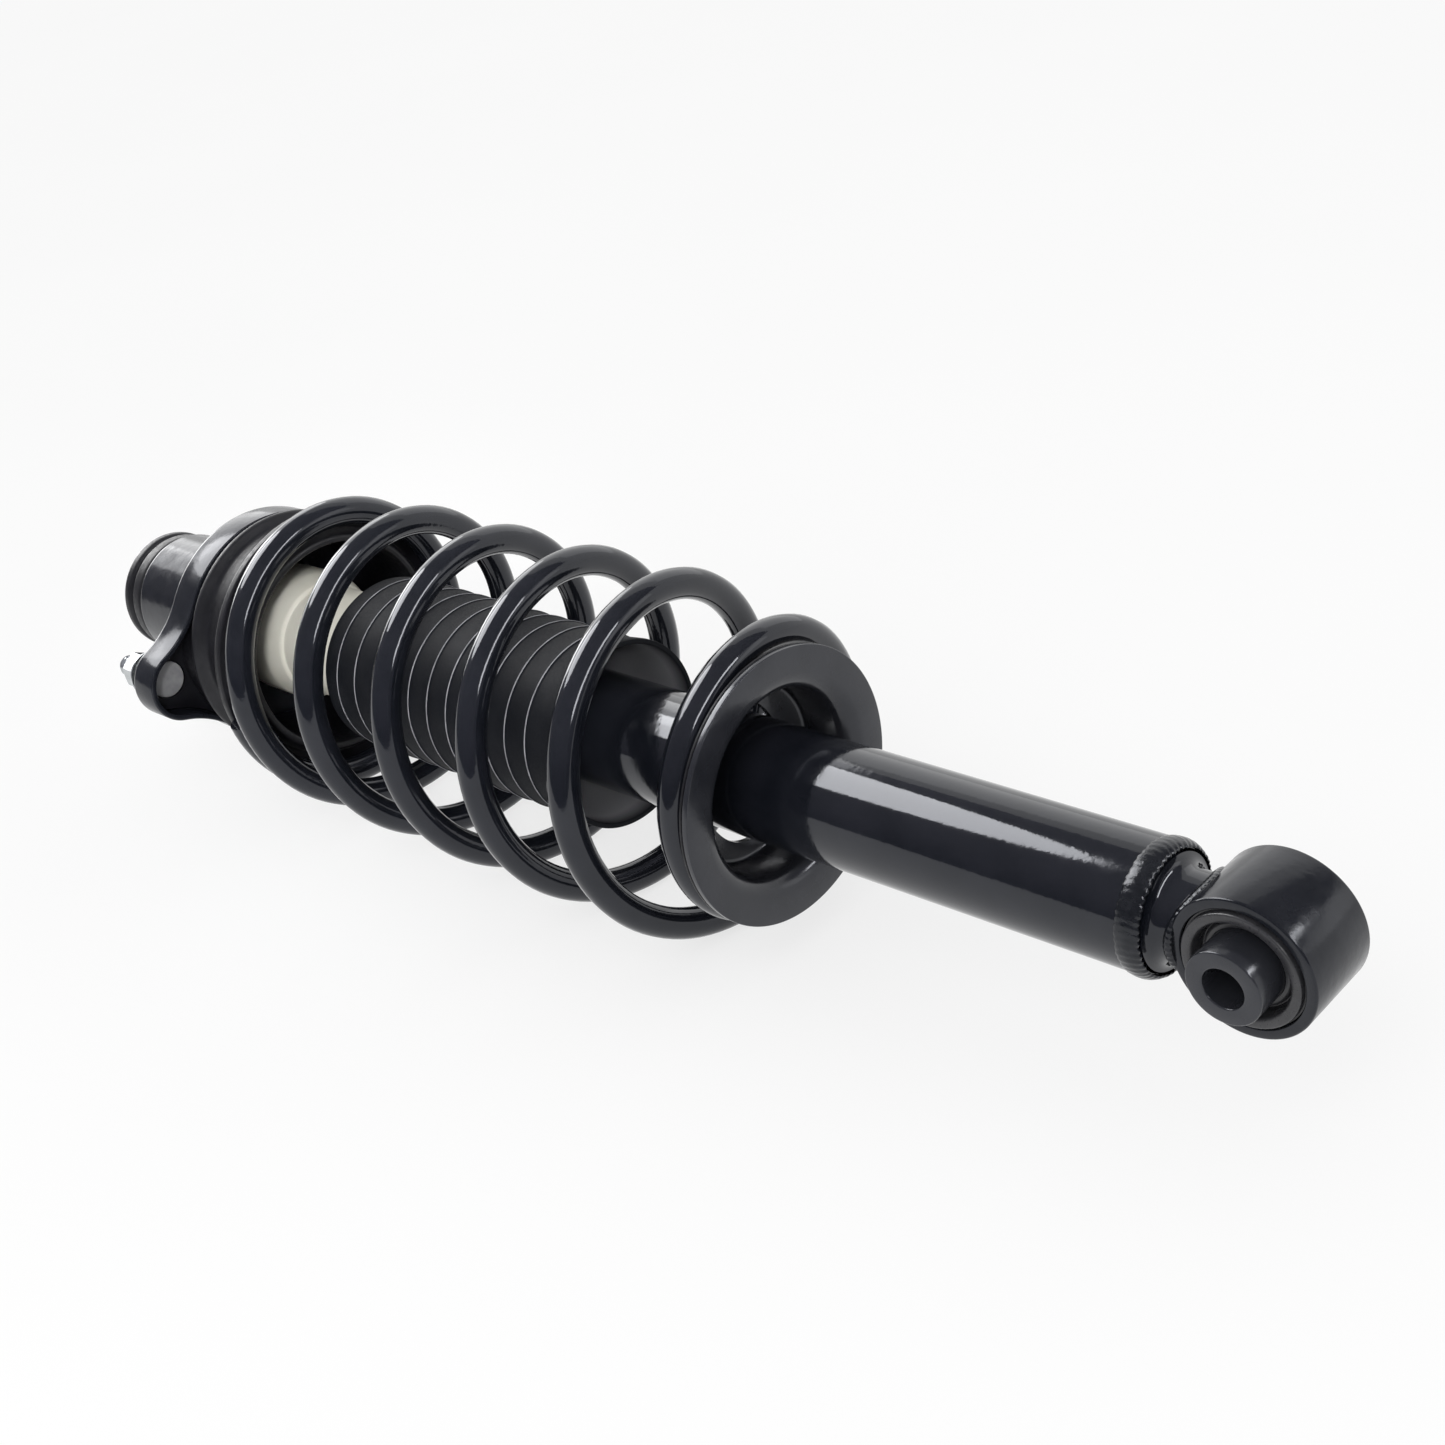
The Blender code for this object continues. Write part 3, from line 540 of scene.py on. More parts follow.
def drawn(bm, corners, closed):
    """Draws (along, radius, rounding) corners as a wire and rounds each by its rounding."""
    knots = [bm.verts.new((along, 0.0, radius)) for along, radius, _ in corners]
    for first, second in zip(knots, knots[1:] + knots[:1] if closed else knots[1:]):
        bm.edges.new((first, second))
    for knot, (_, _, rounding) in zip(knots, corners):
        if rounding:
            bmesh.ops.bevel(bm, geom=[knot], offset=rounding, offset_type="OFFSET", segments=ROUND_STEPS,
                            profile=0.5, affect="VERTICES", material=-1)


def spin_wire(bm, steps, sweep=2 * math.pi):
    """Spins a wire about the X axis, and joins the ends of a full turn."""
    bmesh.ops.spin(bm, geom=bm.verts[:] + bm.edges[:], cent=(0, 0, 0), axis=(1, 0, 0), angle=sweep,
                   steps=steps, use_merge=sweep == 2 * math.pi)
    bmesh.ops.remove_doubles(bm, verts=bm.verts[:], dist=MERGE)


def spun(corners, steps=SMOOTH, closed=True, sweep=2 * math.pi):
    bm = bmesh.new()
    drawn(bm, corners, closed)
    spin_wire(bm, steps, sweep)
    return bm


def bearing(vert):
    """Turn of a vertex about the axis, from up."""
    return math.atan2(vert.co.y, vert.co.z)


def axis_distance(vert):
    """Distance of a vertex from the axis."""
    return math.hypot(vert.co.y, vert.co.z)


def widen(vert, factor):
    """Moves a vertex out from the axis, or in to it, by a factor."""
    vert.co.y *= factor
    vert.co.z *= factor


def piece(name, bm, place, node, finish=None):
    """Puts a bmesh in place as the piece that stands for a CAD node, on its body, in a finish or its slot's
    material.
    """
    bmesh.ops.recalc_face_normals(bm, faces=bm.faces[:])
    bmesh.ops.transform(bm, matrix=place, verts=bm.verts[:])
    mesh = bpy.data.meshes.new(name)
    bm.to_mesh(mesh)
    bm.free()
    mesh.shade_smooth()
    mesh.set_sharp_from_angle(angle=SHARP)
    obj = bpy.data.objects.new(name, mesh)
    bpy.context.scene.collection.objects.link(obj)
    mesh.materials.append(PAINTS[finish or SLOT_OF[node]])
    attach(obj, BODY_OF[node])
    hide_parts(node)
    return obj


def finish_faces(obj, finish, chosen):
    """Gives the faces that a test of their centres chooses a finish of their own."""
    obj.data.materials.append(PAINTS[finish])
    for face in obj.data.polygons:
        face.material_index = int(chosen(face.center))


def both_sides(side):
    """A profile's corners on one side of the eye, and their mirror images."""
    return side + [(-along, radius, rounding) for along, radius, rounding in reversed(side)]


def eye_ring():
    bush_low, bush_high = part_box("eye_bush")
    bore = (bush_high[0] - bush_low[0]) / 2 + GAP
    ring = both_sides([(RING_HIGH.y, bore, RING_EDGE / 2), (RING_HIGH.y, EYE_R, RING_EDGE)])
    piece("eye_ring", spun(ring), EYE, "lower_eye_ring", "pressed_paint")


def eye_sleeve():
    low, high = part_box("eye_sleeve")
    radius = (high[0] - low[0]) / 2
    sleeve = both_sides([(high[1], SLEEVE_BORE_R, FINE), (high[1], radius, FINE)])
    piece("sleeve", spun(sleeve), EYE, "eye_sleeve", "satin_paint")


def eye_bush():
    low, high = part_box("eye_bush")
    sleeve_low, sleeve_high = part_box("eye_sleeve")
    radius = (high[0] - low[0]) / 2
    sleeve_r = (sleeve_high[0] - sleeve_low[0]) / 2
    half = high[1]
    valley = half - BUSH_VALLEY
    collar = valley + BUSH_COLLAR
    collar_r = sleeve_r + BUSH_COLLAR
    lip_in = BUSH_LIP_R - BUSH_LIP_WIDTH / 2
    lip_out = BUSH_LIP_R + BUSH_LIP_WIDTH / 2
    groove = valley + BUSH_GROOVE_RISE
    side = [(collar, sleeve_r + GAP / 2, 0), (collar, collar_r, FINE),
            (valley, collar_r + BUSH_COLLAR / 2, CRISP), (valley, lip_in - BUSH_LIP_SLOPE, FINE),
            (half, lip_in, SOFT), (half, lip_out, SLIGHT),
            (groove, radius - BUSH_GROOVE, KEEN), (groove, radius, 0)]
    piece("bush", spun(both_sides(side)), EYE, "eye_bush", "bush_rubber")


def neck():
    """The base cap's shoulder and neck, cut to the round of the eye ring."""
    tube_end = reach("damper_tube")[1]
    shoulder_r = reach("base_cap")[2] - BASE_SHOULDER
    face = tube_end + BASE_FACE
    root = EYE_CENTRE.x - EYE_R + NECK_REACH
    corners = [(root, NECK_R, 0), (face, NECK_R, NECK_FILLET), (face, shoulder_r, SLIGHT),
               (tube_end - BASE_PLUG, shoulder_r, 0)]
    bm = spun(corners, closed=False)
    for vert in bm.verts:
        if vert.co.x > root - GAP:
            vert.co.x = EYE_CENTRE.x - math.sqrt((EYE_R - RING_EDGE) ** 2 - vert.co.z ** 2)
    piece("neck", bm, STRUT, "base_cap")


def eye_bead():
    """A rippled ring round the neck, bent to lie on the eye ring."""
    bm = bmesh.new()
    bmesh.ops.create_circle(bm, segments=EYE_BEAD_SIDES, radius=EYE_BEAD_R)
    bmesh.ops.rotate(bm, verts=bm.verts[:], matrix=Matrix.Rotation(math.pi / 2, 3, "X"))
    bmesh.ops.translate(bm, verts=bm.verts[:], vec=(0, 0, NECK_R + EYE_BEAD_R / 3))
    spin_wire(bm, 2 * SMOOTH)
    for vert in bm.verts:
        wave = math.sin(WELD_RIPPLES * bearing(vert) + EYE_BEAD_SLANT * vert.co.x)
        widen(vert, 1 + EYE_BEAD_SWELL * wave * EYE_BEAD_R / NECK_R)
        vert.co.x += EYE_CENTRE.x - math.sqrt(EYE_R ** 2 - vert.co.z ** 2)
    piece("eye_bead", bm, STRUT, "eye_weld")


def base_bead():
    """A low rippled bead on the tube's end, which falls to the cap's shoulder."""
    low, high, crest = reach("base_weld")
    tube_r = reach("damper_tube")[2]
    middle = (low + high) / 2
    half = (high - low) / 2 - WELD_EDGE
    rise = BEAD_SHARE * (crest - tube_r) + GAP
    bead = []
    for i in range(BEAD_POINTS + 1):
        share = -math.cos(math.pi * i / BEAD_POINTS)
        fall = BASE_SHOULDER * (max(0, share + BEAD_LEVEL) / (1 + BEAD_LEVEL)) ** 2
        height = rise * (1 - share * share) ** BEAD_FULLNESS - fall
        bead.append((middle + half * share, tube_r - GAP + height, 0))
    bm = spun(bead, 6 * WELD_RIPPLES, closed=False)
    for vert in bm.verts:
        turn = bearing(vert)
        share = (vert.co.x - middle) / half
        drift = BEAD_SLANT * share * share + BEAD_DRIFT * math.sin(BEAD_DRIFTS * turn)
        wave = math.sin(WELD_RIPPLES * turn + drift)
        nick = (1 - BEAD_NICK) * wave + BEAD_NICK * math.sin(BEAD_NICKS * turn)
        widen(vert, 1 + WELD_RIPPLE * wave * (1 - share * share) / crest)
        vert.co.x += WELD_EDGE * share ** 3 * nick
    piece("base_bead", bm, STRUT, "base_weld")


def damper_tube():
    low, high, radius = reach("damper_tube")
    bore = radius - TUBE_WALL
    lip = radius - TUBE_LIP
    under = low + TUBE_WALL
    tube = [(high, radius - TUBE_TAPER_DROP, 0), (high - TUBE_TAPER, radius, 0), (low, radius, EASY),
            (low, lip, CRISP), (under, lip, 0), (under, bore, 0), (high, bore, 0)]
    piece("tube", spun(tube), STRUT, "damper_tube")


def window_radius(turn):
    """How far the oval window reaches from the axis, at a turn measured from up."""
    up, side = math.cos(turn) / WINDOW_UP, math.sin(turn) / WINDOW_SIDE
    return 1 / math.hypot(up, side)


def spring_perch():
    floor, face, radius = reach("lower_spring_perch")
    back = face - PERCH_SHEET
    front = floor + PERCH_SHEET
    wall = POCKET_R + PERCH_SHEET
    bore = reach("damper_tube")[2] + GAP
    sheet = [(face, radius, CRISP), (face, POCKET_R, PERCH_LIP_R), (front, POCKET_R, ROUND),
             (front, bore, 0), (floor, bore, 0), (floor, wall, PERCH_HEEL_R),
             (back, wall, PERCH_LIP_R - PERCH_SHEET), (back, radius, CRISP)]
    bm = spun(sheet, 2 * SMOOTH)
    for vert in bm.verts:
        if axis_distance(vert) < bore + GAP:
            widen(vert, max(bore, window_radius(bearing(vert))) / axis_distance(vert))
    piece("perch", bm, STRUT, "lower_spring_perch", "satin_paint")


def spring_pad():
    low, high, radius = reach("lower_spring_pad")
    inner = radius - PAD_WIDTH
    pad = [(low, inner, KEEN), (low, radius, KEEN), (high, radius, KEEN), (high, inner, KEEN)]
    piece("spring_pad", spun(pad), STRUT, "lower_spring_pad")


def perch_beads():
    bore = reach("damper_tube")[2] + GAP
    for side, heading in (("near", -1), ("far", 1)):
        node = "perch_weld_" + side
        low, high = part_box(node)
        toe = max(high[1], -low[1])
        half_turn = math.asin((high[2] - AXIS_Z) / toe)
        bead = [(high[0], bore, 0), (high[0], toe, SLIGHT), (low[0], bore + PERCH_BEAD_TOE, SLIGHT),
                (low[0], bore, 0)]
        bm = spun(bead, SMALL_STEPS, sweep=2 * half_turn)
        bmesh.ops.holes_fill(bm, edges=[edge for edge in bm.edges if edge.is_boundary], sides=0)
        for vert in bm.verts:
            vert.co.x += PERCH_BEAD_RIPPLE * math.sin(PERCH_BEAD_RIPPLES * bearing(vert))
        bmesh.ops.rotate(bm, verts=bm.verts[:],
                         matrix=Matrix.Rotation(-heading * math.pi / 2 - half_turn, 3, "X"))
        piece("perch_bead_" + side, bm, STRUT, node)


def eased(value, low, high):
    """Runs smoothly from 0 to 1 as a value goes from low to high."""
    share = min(max((value - low) / (high - low), 0.0), 1.0)
    return share * share * (3 - 2 * share)


def climb(turn):
    """Turns climbed so far: flat on both seats, steady between them, eased where it lifts off."""
    if abs(turn) < COIL_EASE:
        return (turn + COIL_EASE) ** 2 / (4 * COIL_EASE)
    if abs(turn - COIL_TURNS) < COIL_EASE:
        return COIL_TURNS - (COIL_TURNS + COIL_EASE - turn) ** 2 / (4 * COIL_EASE)
    return min(max(turn, 0.0), COIL_TURNS)


def coil_spring():
    low_x = reach("lower_spring_pad")[0] - GAP - WIRE_R
    count = round((COIL_END - COIL_START) * COIL_STEPS)
    wire = bpy.data.curves.new("coil_wire", "CURVE")
    wire.dimensions = "3D"
    wire.twist_mode = "Z_UP"
    wire.bevel_depth = WIRE_R
    wire.bevel_resolution = WIRE_ROUND
    wire.use_fill_caps = True
    spline = wire.splines.new("POLY")
    spline.points.add(count)
    for i, knot in enumerate(spline.points):
        turn = COIL_START + (COIL_END - COIL_START) * i / count
        radius = COIL_R_LOW + (COIL_R - COIL_R_LOW) * eased(turn, *COIL_GROW)
        radius -= (COIL_R - COIL_R_HIGH) * eased(turn, *COIL_SHRINK)
        angle = 2 * math.pi * turn
        knot.co = (radius * math.cos(angle), radius * math.sin(angle), COIL_PITCH * climb(turn), 1.0)
    guide = bpy.data.objects.new("coil_wire", wire)
    bm = bmesh.new()
    bm.from_mesh(bpy.data.meshes.new_from_object(guide))
    bpy.data.objects.remove(guide)
    bmesh.ops.remove_doubles(bm, verts=bm.verts[:], dist=MERGE)
    lying = STRUT @ Matrix.Translation((low_x, 0, 0)) @ Matrix.Rotation(-math.pi / 2, 4, "Y")
    coil = piece("coil", bm, lying, "coil_spring")
    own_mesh(coil)


def dust_boot():
    top, mouth, _ = reach("dust_boot")
    skirt = mouth - BOOT_SKIRT
    ridge_r = BOOT_BAND_R + BOOT_RIDGE
    outside = [(top, BOOT_HOLE_R, 0), (top, BOOT_BAND_R, BOOT_SHOULDER - SMALL)]
    for i in range(BOOT_RIBS):
        crest = top + BOOT_SHOULDER + BOOT_PITCH * (i + 0.5)
        outside += [(crest - BOOT_RIDGE_HALF, BOOT_BAND_R, KEEN), (crest, ridge_r, CRISP),
                    (crest + BOOT_RIDGE_HALF, BOOT_BAND_R, KEEN)]
    outside += [(skirt, BOOT_BAND_R, FULL), (mouth - BOOT_LIP, BOOT_MOUTH_R, SMALL),
                (mouth, BOOT_MOUTH_R - BOOT_LIP_DROP, NEAT)]
    inside_r = BOOT_BAND_R - BOOT_WALL
    under = top + BOOT_TOP
    inside = [(mouth, BOOT_MOUTH_R - BOOT_WALL, NEAT), (skirt, inside_r, ROUND),
              (top + BOOT_SHOULDER, inside_r, ROUND), (under, inside_r - BOOT_TOP_SLOPE, SMALL),
              (under, BOOT_HOLE_R, 0)]
    boot = piece("boot", spun(outside + inside), STRUT, "dust_boot")

    def on_crest(centre):
        out = math.hypot(centre.y, centre.z - AXIS_Z)
        return out > BOOT_BAND_R + BOOT_RIDGE / 2 and centre.x < skirt

    # The ribs' crests get a painted highlight of their own.
    finish_faces(boot, "boot_crest_highlight", on_crest)
    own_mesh(boot)


def bump_stop():
    top, tip, radius = reach("bump_stop")
    neck_end = top + STOP_NECK
    groove = reach("dust_boot")[0] + BOOT_TOP / 2
    groove_low = groove - STOP_GROOVE_HALF
    groove_high = groove + STOP_GROOVE_HALF
    stop = [(top, STOP_BORE_R, 0), (top, radius, SMALL), (top + STOP_BAND, radius, SOFT),
            (neck_end, STOP_NECK_R, SMALL), (neck_end, STOP_BODY_R, FINE),
            (groove_low, STOP_BODY_R, SLIGHT), (groove_low, STOP_GROOVE_R, 0),
            (groove_high, STOP_GROOVE_R, 0), (groove_high, STOP_BODY_R, SLIGHT),
            (tip - STOP_TIP, STOP_BODY_R, BROAD), (tip, STOP_TIP_R, ROUND), (tip, STOP_BORE_R, 0)]
    foam = piece("stop", spun(stop), STRUT, "bump_stop")
    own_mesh(foam)


def arc(radius, low, high, steps, x=0.0, y=0.0):
    """Points on an arc, with angles in degrees, measured from +x."""
    angles = [math.radians(low + (high - low) * i / steps) for i in range(steps + 1)]
    return [(x + radius * math.cos(a), y + radius * math.sin(a)) for a in angles]


def plate_outline(inset):
    """Round plate with two ears, as (side, up) points; an inset keeps all the arcs' centres."""
    body = PLATE_R + EAR_FILLET
    ear = EAR_R + EAR_FILLET
    centre = (EAR_SPREAD ** 2 + body ** 2 - ear ** 2) / (2 * EAR_SPREAD)
    height = math.sqrt(body ** 2 - centre ** 2)
    at_body = math.degrees(math.atan2(height, centre))
    at_ear = math.degrees(math.atan2(height, centre - EAR_SPREAD))
    quarter = arc(EAR_R - inset, 0, at_ear, EAR_STEPS, EAR_SPREAD)
    quarter += arc(EAR_FILLET + inset, 180 + at_ear, 180 + at_body, FILLET_STEPS, centre, height)[1:]
    quarter += arc(PLATE_R - inset, at_body, 90, EAR_STEPS)[1:]
    half = quarter + [(-x, y) for x, y in reversed(quarter[:-1])]
    return half + [(x, -y) for x, y in reversed(half[1:-1])]


def lofted(loops):
    """Extrudes a closed loop of points to each next loop of as many points."""
    bm = bmesh.new()
    row = [bm.verts.new(point) for point in loops[0]]
    edges = [bm.edges.new((row[i - 1], row[i])) for i in range(len(row))]
    for points in loops[1:]:
        place = {vert: point for vert, point in zip(row, points)}
        grown = bmesh.ops.extrude_edge_only(bm, edges=edges)["geom"]
        edges = [item for item in grown if isinstance(item, bmesh.types.BMEdge)]
        raised = {item for item in grown if isinstance(item, bmesh.types.BMVert)}
        above = {}
        for vert in raised:
            below = next(edge.other_vert(vert) for edge in vert.link_edges if edge.other_vert(vert) in place)
            above[below] = vert
            vert.co = place[below]
        row = [above[vert] for vert in row]
    return bm


def level(outline, along):
    """An outline's points at one place along the axis."""
    return [(along, side, up) for side, up in outline]


def circle_like(outline, radius, along):
    """A circle's points at the same bearings as an outline's."""
    return [(along, radius * side / math.hypot(side, up), radius * up / math.hypot(side, up))
            for side, up in outline]


def mount_plate():
    end, edge, _ = reach("mount_plate")
    flat = edge - RIM_DEPTH
    outline = plate_outline(0.0)
    bends = [math.radians(90 * i / BEND_STEPS) for i in range(BEND_STEPS + 1)]
    loops = [level(outline, edge)]
    loops += [level(plate_outline(RIM_BEND * (1 - math.cos(a))), flat + RIM_BEND * (1 - math.sin(a)))
              for a in bends]
    loops += [circle_like(outline, CUP_R + CUP_ROOT * (1 - math.sin(a)), flat - CUP_ROOT * (1 - math.cos(a)))
              for a in bends]
    loops += [circle_like(outline, CUP_R - CUP_BEND * (1 - math.cos(a)), end + CUP_BEND * (1 - math.sin(a)))
              for a in bends]
    loops.append(circle_like(outline, CUP_MOUTH_R, end))
    plate = piece("plate", lofted(loops), STRUT, "mount_plate", "pressed_paint")
    shell = plate.modifiers.new("sheet", "SOLIDIFY")
    shell.thickness = SHEET
    shell.offset = -1.0
    rounding = plate.modifiers.new("edges", "BEVEL")
    rounding.width = FINE
    rounding.segments = 3
    rounding.limit_method = "ANGLE"
    rounding.angle_limit = math.radians(50)


def ear_pads(bm, low):
    """A flat sheet behind the plate and its ears, holed for the seat's bore and the studs' heads."""
    rings = [plate_outline(SHEET + GAP), arc(SEAT_BORE_R + 3 * GAP, 0, 360, SMOOTH)[1:]]
    rings += [arc(STUD_HEAD_R + GAP, 0, 360, SMALL_STEPS, heading * STUD_SPREAD)[1:] for heading in (-1, 1)]
    edges = []
    for ring in rings:
        knots = [bm.verts.new((low + EAR_PAD, side, up)) for side, up in ring]
        edges += [bm.edges.new((knots[i - 1], knots[i])) for i in range(len(knots))]
    sheet = bmesh.ops.triangle_fill(bm, edges=edges, use_beauty=True, normal=(1, 0, 0))["geom"]
    faces = [item for item in sheet if isinstance(item, bmesh.types.BMFace)]
    raised = bmesh.ops.extrude_face_region(bm, geom=faces, use_keep_orig=True)["geom"]
    moved = [item for item in raised if isinstance(item, bmesh.types.BMVert)]
    bmesh.ops.translate(bm, verts=moved, vec=(-EAR_PAD, 0, 0))


def upper_seat():
    low, high, _ = reach("upper_spring_seat")
    flange_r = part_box("upper_spring_seat")[1][2] - AXIS_Z
    base = high - SEAT_PILOT
    flange = base - SEAT_FLANGE
    inside = PLATE_R - SHEET - 3 * GAP
    rim = reach("mount_plate")[1] + SEAT_RIDGE
    step = low + EAR_PAD / 2
    bulge = SEAT_WAIST_R + SEAT_BULGE
    seat = [(step, SEAT_BORE_R, 0), (step, inside, 0), (rim, inside, 0),
            (rim + SEAT_RIDGE / 2, bulge, SOFT), (rim + SEAT_RIDGE_END, bulge, SOFT),
            (rim + SEAT_WAIST_START, SEAT_WAIST_R, MILD), ((flange + rim) / 2, SEAT_WAIST_R, WIDE),
            (flange - SEAT_FLANGE, SEAT_PILOT_R, BROAD), (flange, flange_r, SOFT),
            (base, flange_r, SOFT), (base, SEAT_PILOT_R, SLIGHT),
            (high, SEAT_PILOT_R - SEAT_RIDGE, EASY), (high, SEAT_BORE_R, SOFT)]
    bm = spun(seat)
    ear_pads(bm, low)
    piece("seat", bm, STRUT, "upper_spring_seat")


def mount_stud(side, place):
    tip, head, _ = reach("mount_stud_" + side)
    under = head - STUD_HEAD
    length = under - tip - STUD_POINT
    rings = int(length / THREAD_PITCH * THREAD_STEPS)
    shank = [(under - length * i / rings, STUD_R, 0) for i in range(rings + 1)]
    corners = [(head, 0, 0), (head, STUD_HEAD_R, NEAT), (under, STUD_HEAD_R, KEEN)] + shank + [
        (tip, STUD_R - STUD_POINT_DROP, 0), (tip, 0, 0)]
    bm = spun(corners, SMALL_STEPS, closed=False)
    for vert in bm.verts:
        if abs(axis_distance(vert) - STUD_R) < MERGE:
            phase = vert.co.x / THREAD_PITCH + bearing(vert) / (2 * math.pi)
            widen(vert, 1 - THREAD_DEPTH * abs(2 * (phase % 1.0) - 1) / STUD_R)
    stud = piece("stud_" + side, bm, place, "mount_stud_" + side)
    finish_faces(stud, "bolt_grey", lambda centre: centre.x > under - GAP)


def flange_nut(side, place):
    low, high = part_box("flange_nut_" + side)
    top, base = low[0], high[0]
    flange_r = (high[1] - low[1]) / 2
    corner_r = NUT_FLATS / math.sqrt(3)
    bore = STUD_R + GAP
    crown = [(top + NUT_CROWN * i / NUT_CROWN_STEPS, corner_r, 0) for i in range(NUT_CROWN_STEPS + 1)]
    corners = [(top, bore + NUT_CHAMFER, 0)] + crown + [
        (base - NUT_FLANGE - NUT_FOOT, corner_r, 0), (base - NUT_FLANGE / 2, flange_r, FINE),
        (base, flange_r, CRISP), (base, bore, 0), (top + NUT_CHAMFER, bore, 0)]
    bm = spun(corners, NUT_STEPS)
    for vert in bm.verts:
        if abs(axis_distance(vert) - corner_r) < MERGE:
            turn = bearing(vert) % (math.pi / 3) - math.pi / 6
            flats = NUT_FLATS / 2 / math.cos(turn)
            cone = NUT_FLATS / 2 - NUT_CONE_DROP + (vert.co.x - top) * NUT_CONE_SLOPE
            widen(vert, min(flats, cone) / axis_distance(vert))
    piece("nut_" + side, bm, place, "flange_nut_" + side)


def studs_and_nuts():
    for side, heading in (("near", -1), ("far", 1)):
        place = STRUT @ Matrix.Translation((0, heading * STUD_SPREAD, 0))
        mount_stud(side, place)
        flange_nut(side, place)


def top_cap():
    end, mouth, radius = reach("top_cap")
    base = reach("mount_plate")[0] - GAP
    quarter = (base - end) / 4
    band, band_end, groove, groove_end, rim, rim_end, dome = (
        base - share * quarter for share in (*CAP_BAND, *CAP_GROOVE, *CAP_RIM, CAP_DOME))
    cap = [(mouth, CAP_NECK_R, 0), (base, CAP_NECK_R, 0), (base, CAP_GROOVE_R, CRISP),
           (band, radius, SOFT), (band_end, radius, SOFT),
           (groove, CAP_GROOVE_R, NEAT), (groove_end, CAP_GROOVE_R, NEAT),
           (rim, radius, SOFT), (rim_end, radius, MILD),
           (dome, CAP_NECK_R + CAP_DOME_RISE, FULL), (end + CAP_CROWN, CAP_NECK_R / 2, BROAD), (end, 0, 0)]
    piece("cap", spun(cap, closed=False), STRUT, "top_cap")


def background_rays(tree):
    """1 for the rays that see the background itself: straight, in gloss or through glass."""
    rays = tree.nodes.new("ShaderNodeLightPath")
    seen = rays.outputs["Is Camera Ray"]
    for kind in ("Is Glossy Ray", "Is Transmission Ray"):
        either = tree.nodes.new("ShaderNodeMath")
        either.operation = "MAXIMUM"
        tree.links.new(seen, either.inputs[0])
        tree.links.new(rays.outputs[kind], either.inputs[1])
        seen = either.outputs[0]
    return seen


def mixed_shader(tree, share, first, second, output):
    node = tree.nodes.new("ShaderNodeMixShader")
    tree.links.new(share, node.inputs["Fac"])
    tree.links.new(first.outputs[0], node.inputs[1])
    tree.links.new(second.outputs[0], node.inputs[2])
    tree.links.new(node.outputs[0], tree.nodes[output].inputs["Surface"])


def floor_paint():
    made, tree, shader, coords = started("floor")
    tree.links.new(ramp(tree, noise(tree, coords, 3), 0.90, 0.92), shader.inputs["Base Color"])
    shader.inputs["Roughness"].default_value = 0.9
    shader.inputs["Specular IOR Level"].default_value = 0.0
    glow = tree.nodes.new("ShaderNodeEmission")
    share = tree.nodes.new("ShaderNodeMath")
    share.operation = "MULTIPLY"
    share.inputs[1].default_value = FLOOR_WHITE
    tree.links.new(background_rays(tree), share.inputs[0])
    mixed_shader(tree, share.outputs[0], shader, glow, "Material Output")
    return made


def room_paint():
    made, tree, shader, coords = started("dark_room")
    height = tree.nodes.new("ShaderNodeSeparateXYZ")
    tree.links.new(coords, height.inputs[0])
    share = stretched(tree, height.outputs["Z"], *ROOM_HEIGHTS)
    tree.links.new(ramp(tree, share, *ROOM_SHADES, 0.0, 1.0), shader.inputs["Base Color"])
    shader.inputs["Roughness"].default_value = 1.0
    shader.inputs["Specular IOR Level"].default_value = 0.0
    return made


def backdrop(name, bm, paint):
    """Puts a bmesh in the scene as a part of the studio."""
    mesh = bpy.data.meshes.new(name)
    bm.to_mesh(mesh)
    bm.free()
    mesh.materials.append(paint)
    obj = bpy.data.objects.new(name, mesh)
    bpy.context.scene.collection.objects.link(obj)
    return obj


def pale_floor():
    bm = bmesh.new()
    bmesh.ops.create_grid(bm, x_segments=1, y_segments=1, size=FLOOR_HALF)
    return backdrop("floor", bm, floor_paint())


def dark_room():
    """A grey vault over the near side and both ends, seen only in reflections."""
    bm = bmesh.new()
    spans = len(ROOM_EDGE) - 1
    bmesh.ops.create_grid(bm, x_segments=spans, y_segments=ROOM_STEPS, size=0.5)
    for vert in bm.verts:
        along, start = ROOM_EDGE[round((vert.co.x + 0.5) * spans)]
        turn = math.radians(start + (180 - start) * (vert.co.y + 0.5))
        vert.co = (along, ROOM_R * math.cos(turn), ROOM_R * math.sin(turn))
    for end in (ROOM_EDGE[0][0], ROOM_EDGE[-1][0]):
        arch = [edge for edge in bm.edges if all(abs(vert.co.x - end) < GAP for vert in edge.verts)]
        grown = bmesh.ops.extrude_edge_only(bm, edges=arch)["geom"]
        hub = [item for item in grown if isinstance(item, bmesh.types.BMVert)]
        bmesh.ops.pointmerge(bm, verts=hub, merge_co=(end, 0, 0))
    room = backdrop("dark_room", bm, room_paint())
    room.visible_camera = False
    room.visible_diffuse = False
    room.visible_transmission = False
    room.visible_shadow = False
    return room


def white_world():
    """An even fill, and plain white for the rays that see the background."""
    world = bpy.data.worlds.new("studio")
    bpy.context.scene.world = world
    world.use_nodes = True
    tree = world.node_tree
    fill = tree.nodes["Background"]
    fill.inputs["Strength"].default_value = WORLD_FILL
    white = tree.nodes.new("ShaderNodeBackground")
    white.inputs["Strength"].default_value = 1.0
    for light in (fill, white):
        light.inputs["Color"].default_value = (1.0, 1.0, 1.0, 1.0)
    mixed_shader(tree, background_rays(tree), fill, white, "World Output")


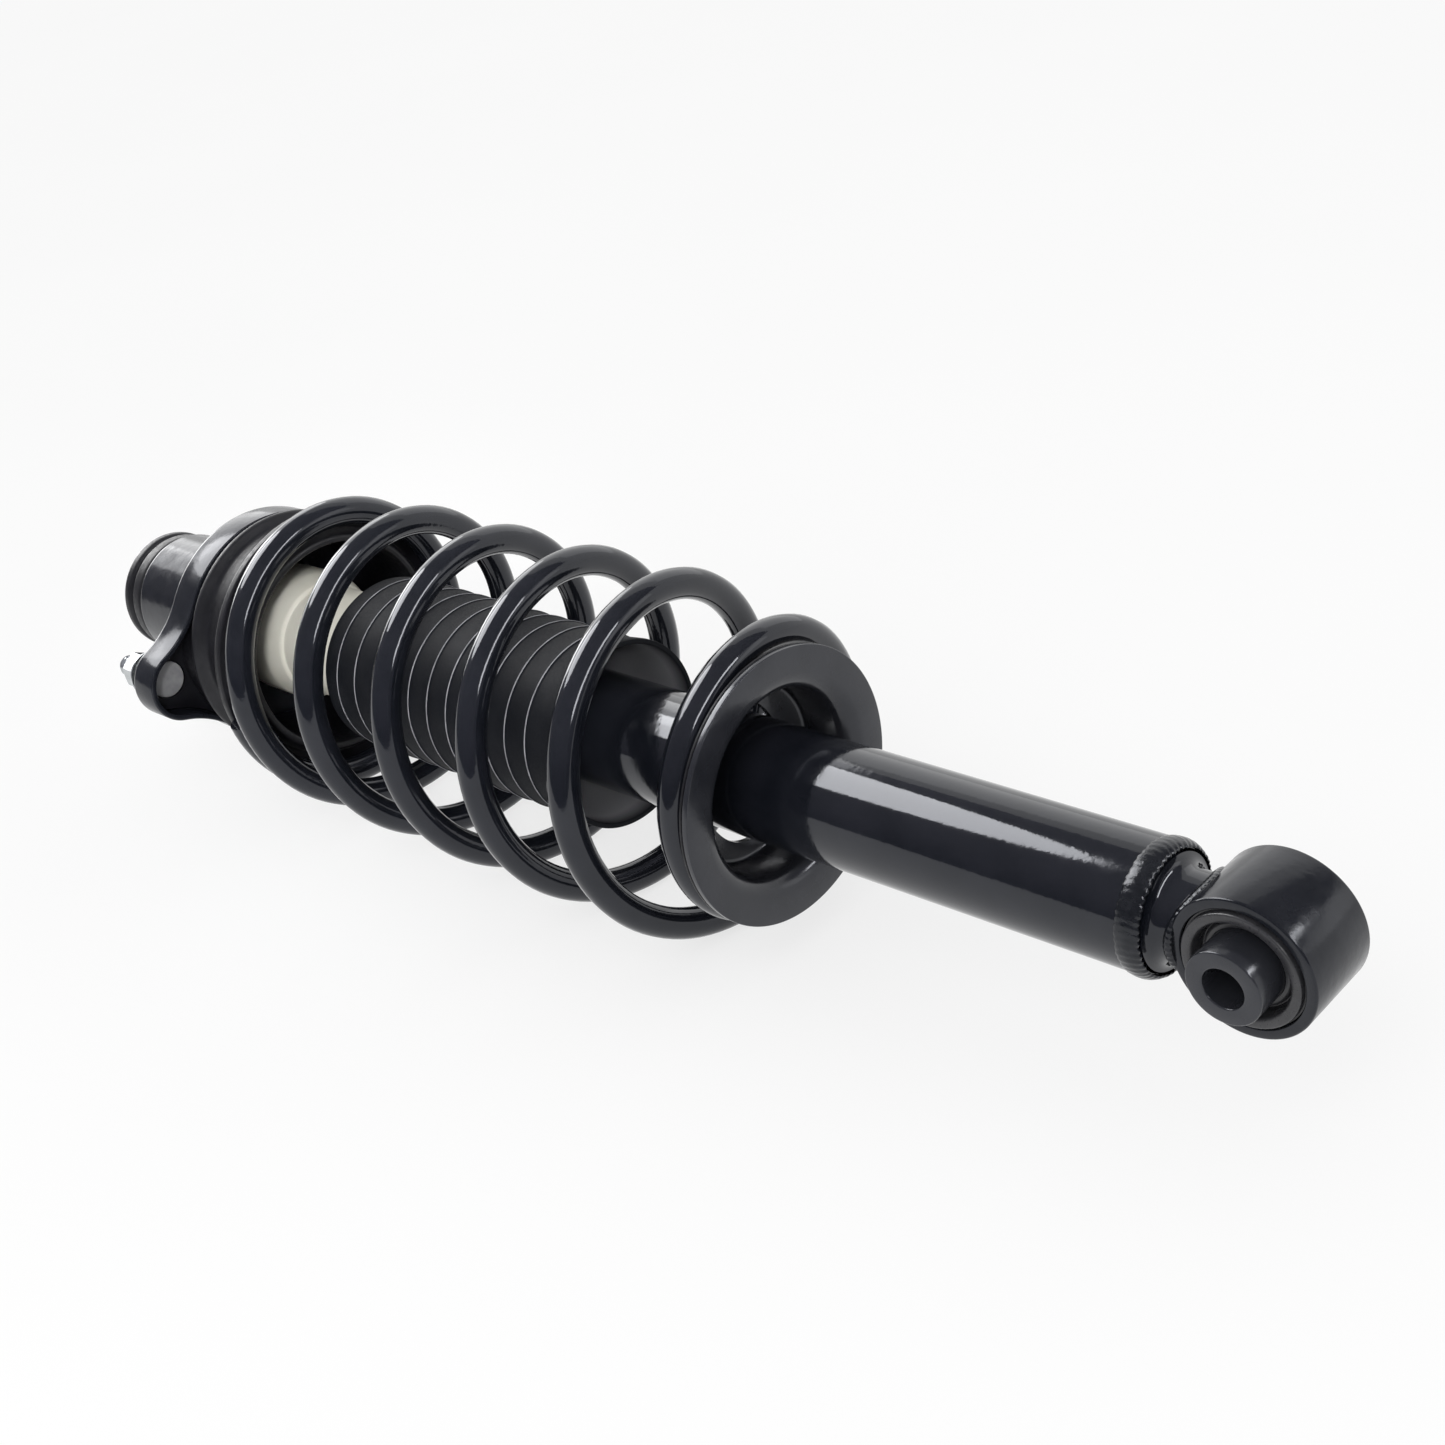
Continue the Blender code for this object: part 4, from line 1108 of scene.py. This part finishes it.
def aimed(name, lamp, place, target):
    """Puts a lamp in the scene, turned to its target."""
    obj = bpy.data.objects.new(name, lamp)
    obj.location = place
    obj.rotation_euler = (Vector(target) - Vector(place)).to_track_quat("-Z", "Y").to_euler()
    bpy.context.scene.collection.objects.link(obj)
    return obj


def softbox(name, place, target, long, short, radiance, shape):
    """An area lamp whose long side is level, with a given brightness seen from the front."""
    lamp = bpy.data.lights.new(name, "AREA")
    lamp.shape = shape
    lamp.size, lamp.size_y = long, short
    area = long * short * (math.pi / 4 if shape == "DISK" else 1.0)
    lamp.energy = radiance * math.pi * area
    obj = aimed(name, lamp, place, target)
    obj.visible_camera = False
    return obj


def narrow_lamp():
    """A narrow soft lamp that reaches in between the coils."""
    lamp = bpy.data.lights.new("inside", "SPOT")
    lamp.spot_size = SPOT_SIZE
    lamp.spot_blend = 1.0
    lamp.shadow_soft_size = SPOT_SOFT
    lamp.energy = SPOT_WATTS
    return aimed("inside", lamp, SPOT_PLACE, SPOT_TARGET)


def lamps():
    for row in REFLECTED_LAMPS:
        softbox(*row).visible_diffuse = False
    softbox(*FORM_LAMP).visible_glossy = False
    narrow_lamp().visible_glossy = False


def camera():
    lens = bpy.data.cameras.new("view")
    lens.lens = VIEW_LENS
    lens.sensor_width = VIEW_SENSOR
    lens.clip_start = VIEW_NEAR
    turn = Matrix((VIEW_RIGHT, VIEW_UP, VIEW_BACK)).transposed().to_4x4()
    obj = bpy.data.objects.new("view", lens)
    obj.matrix_world = Matrix.Translation(EYE_CENTRE + Vector(VIEW_FROM_EYE)) @ turn
    bpy.context.scene.collection.objects.link(obj)
    bpy.context.scene.camera = obj


def finish_carried_nodes():
    """Gives each CAD node its slot's material, for those that stay in view."""
    for name, node in frame["nodes"].items():
        node.data.materials.clear()
        node.data.materials.append(PAINTS[SLOT_OF[name]])


finish_carried_nodes()
eye_ring()
eye_sleeve()
eye_bush()
neck()
eye_bead()
base_bead()
damper_tube()
spring_perch()
spring_pad()
perch_beads()
coil_spring()
dust_boot()
bump_stop()
mount_plate()
upper_seat()
studs_and_nuts()
top_cap()
pale_floor()
dark_room()
white_world()
lamps()
camera()
bpy.context.scene.view_settings.view_transform = "Standard"
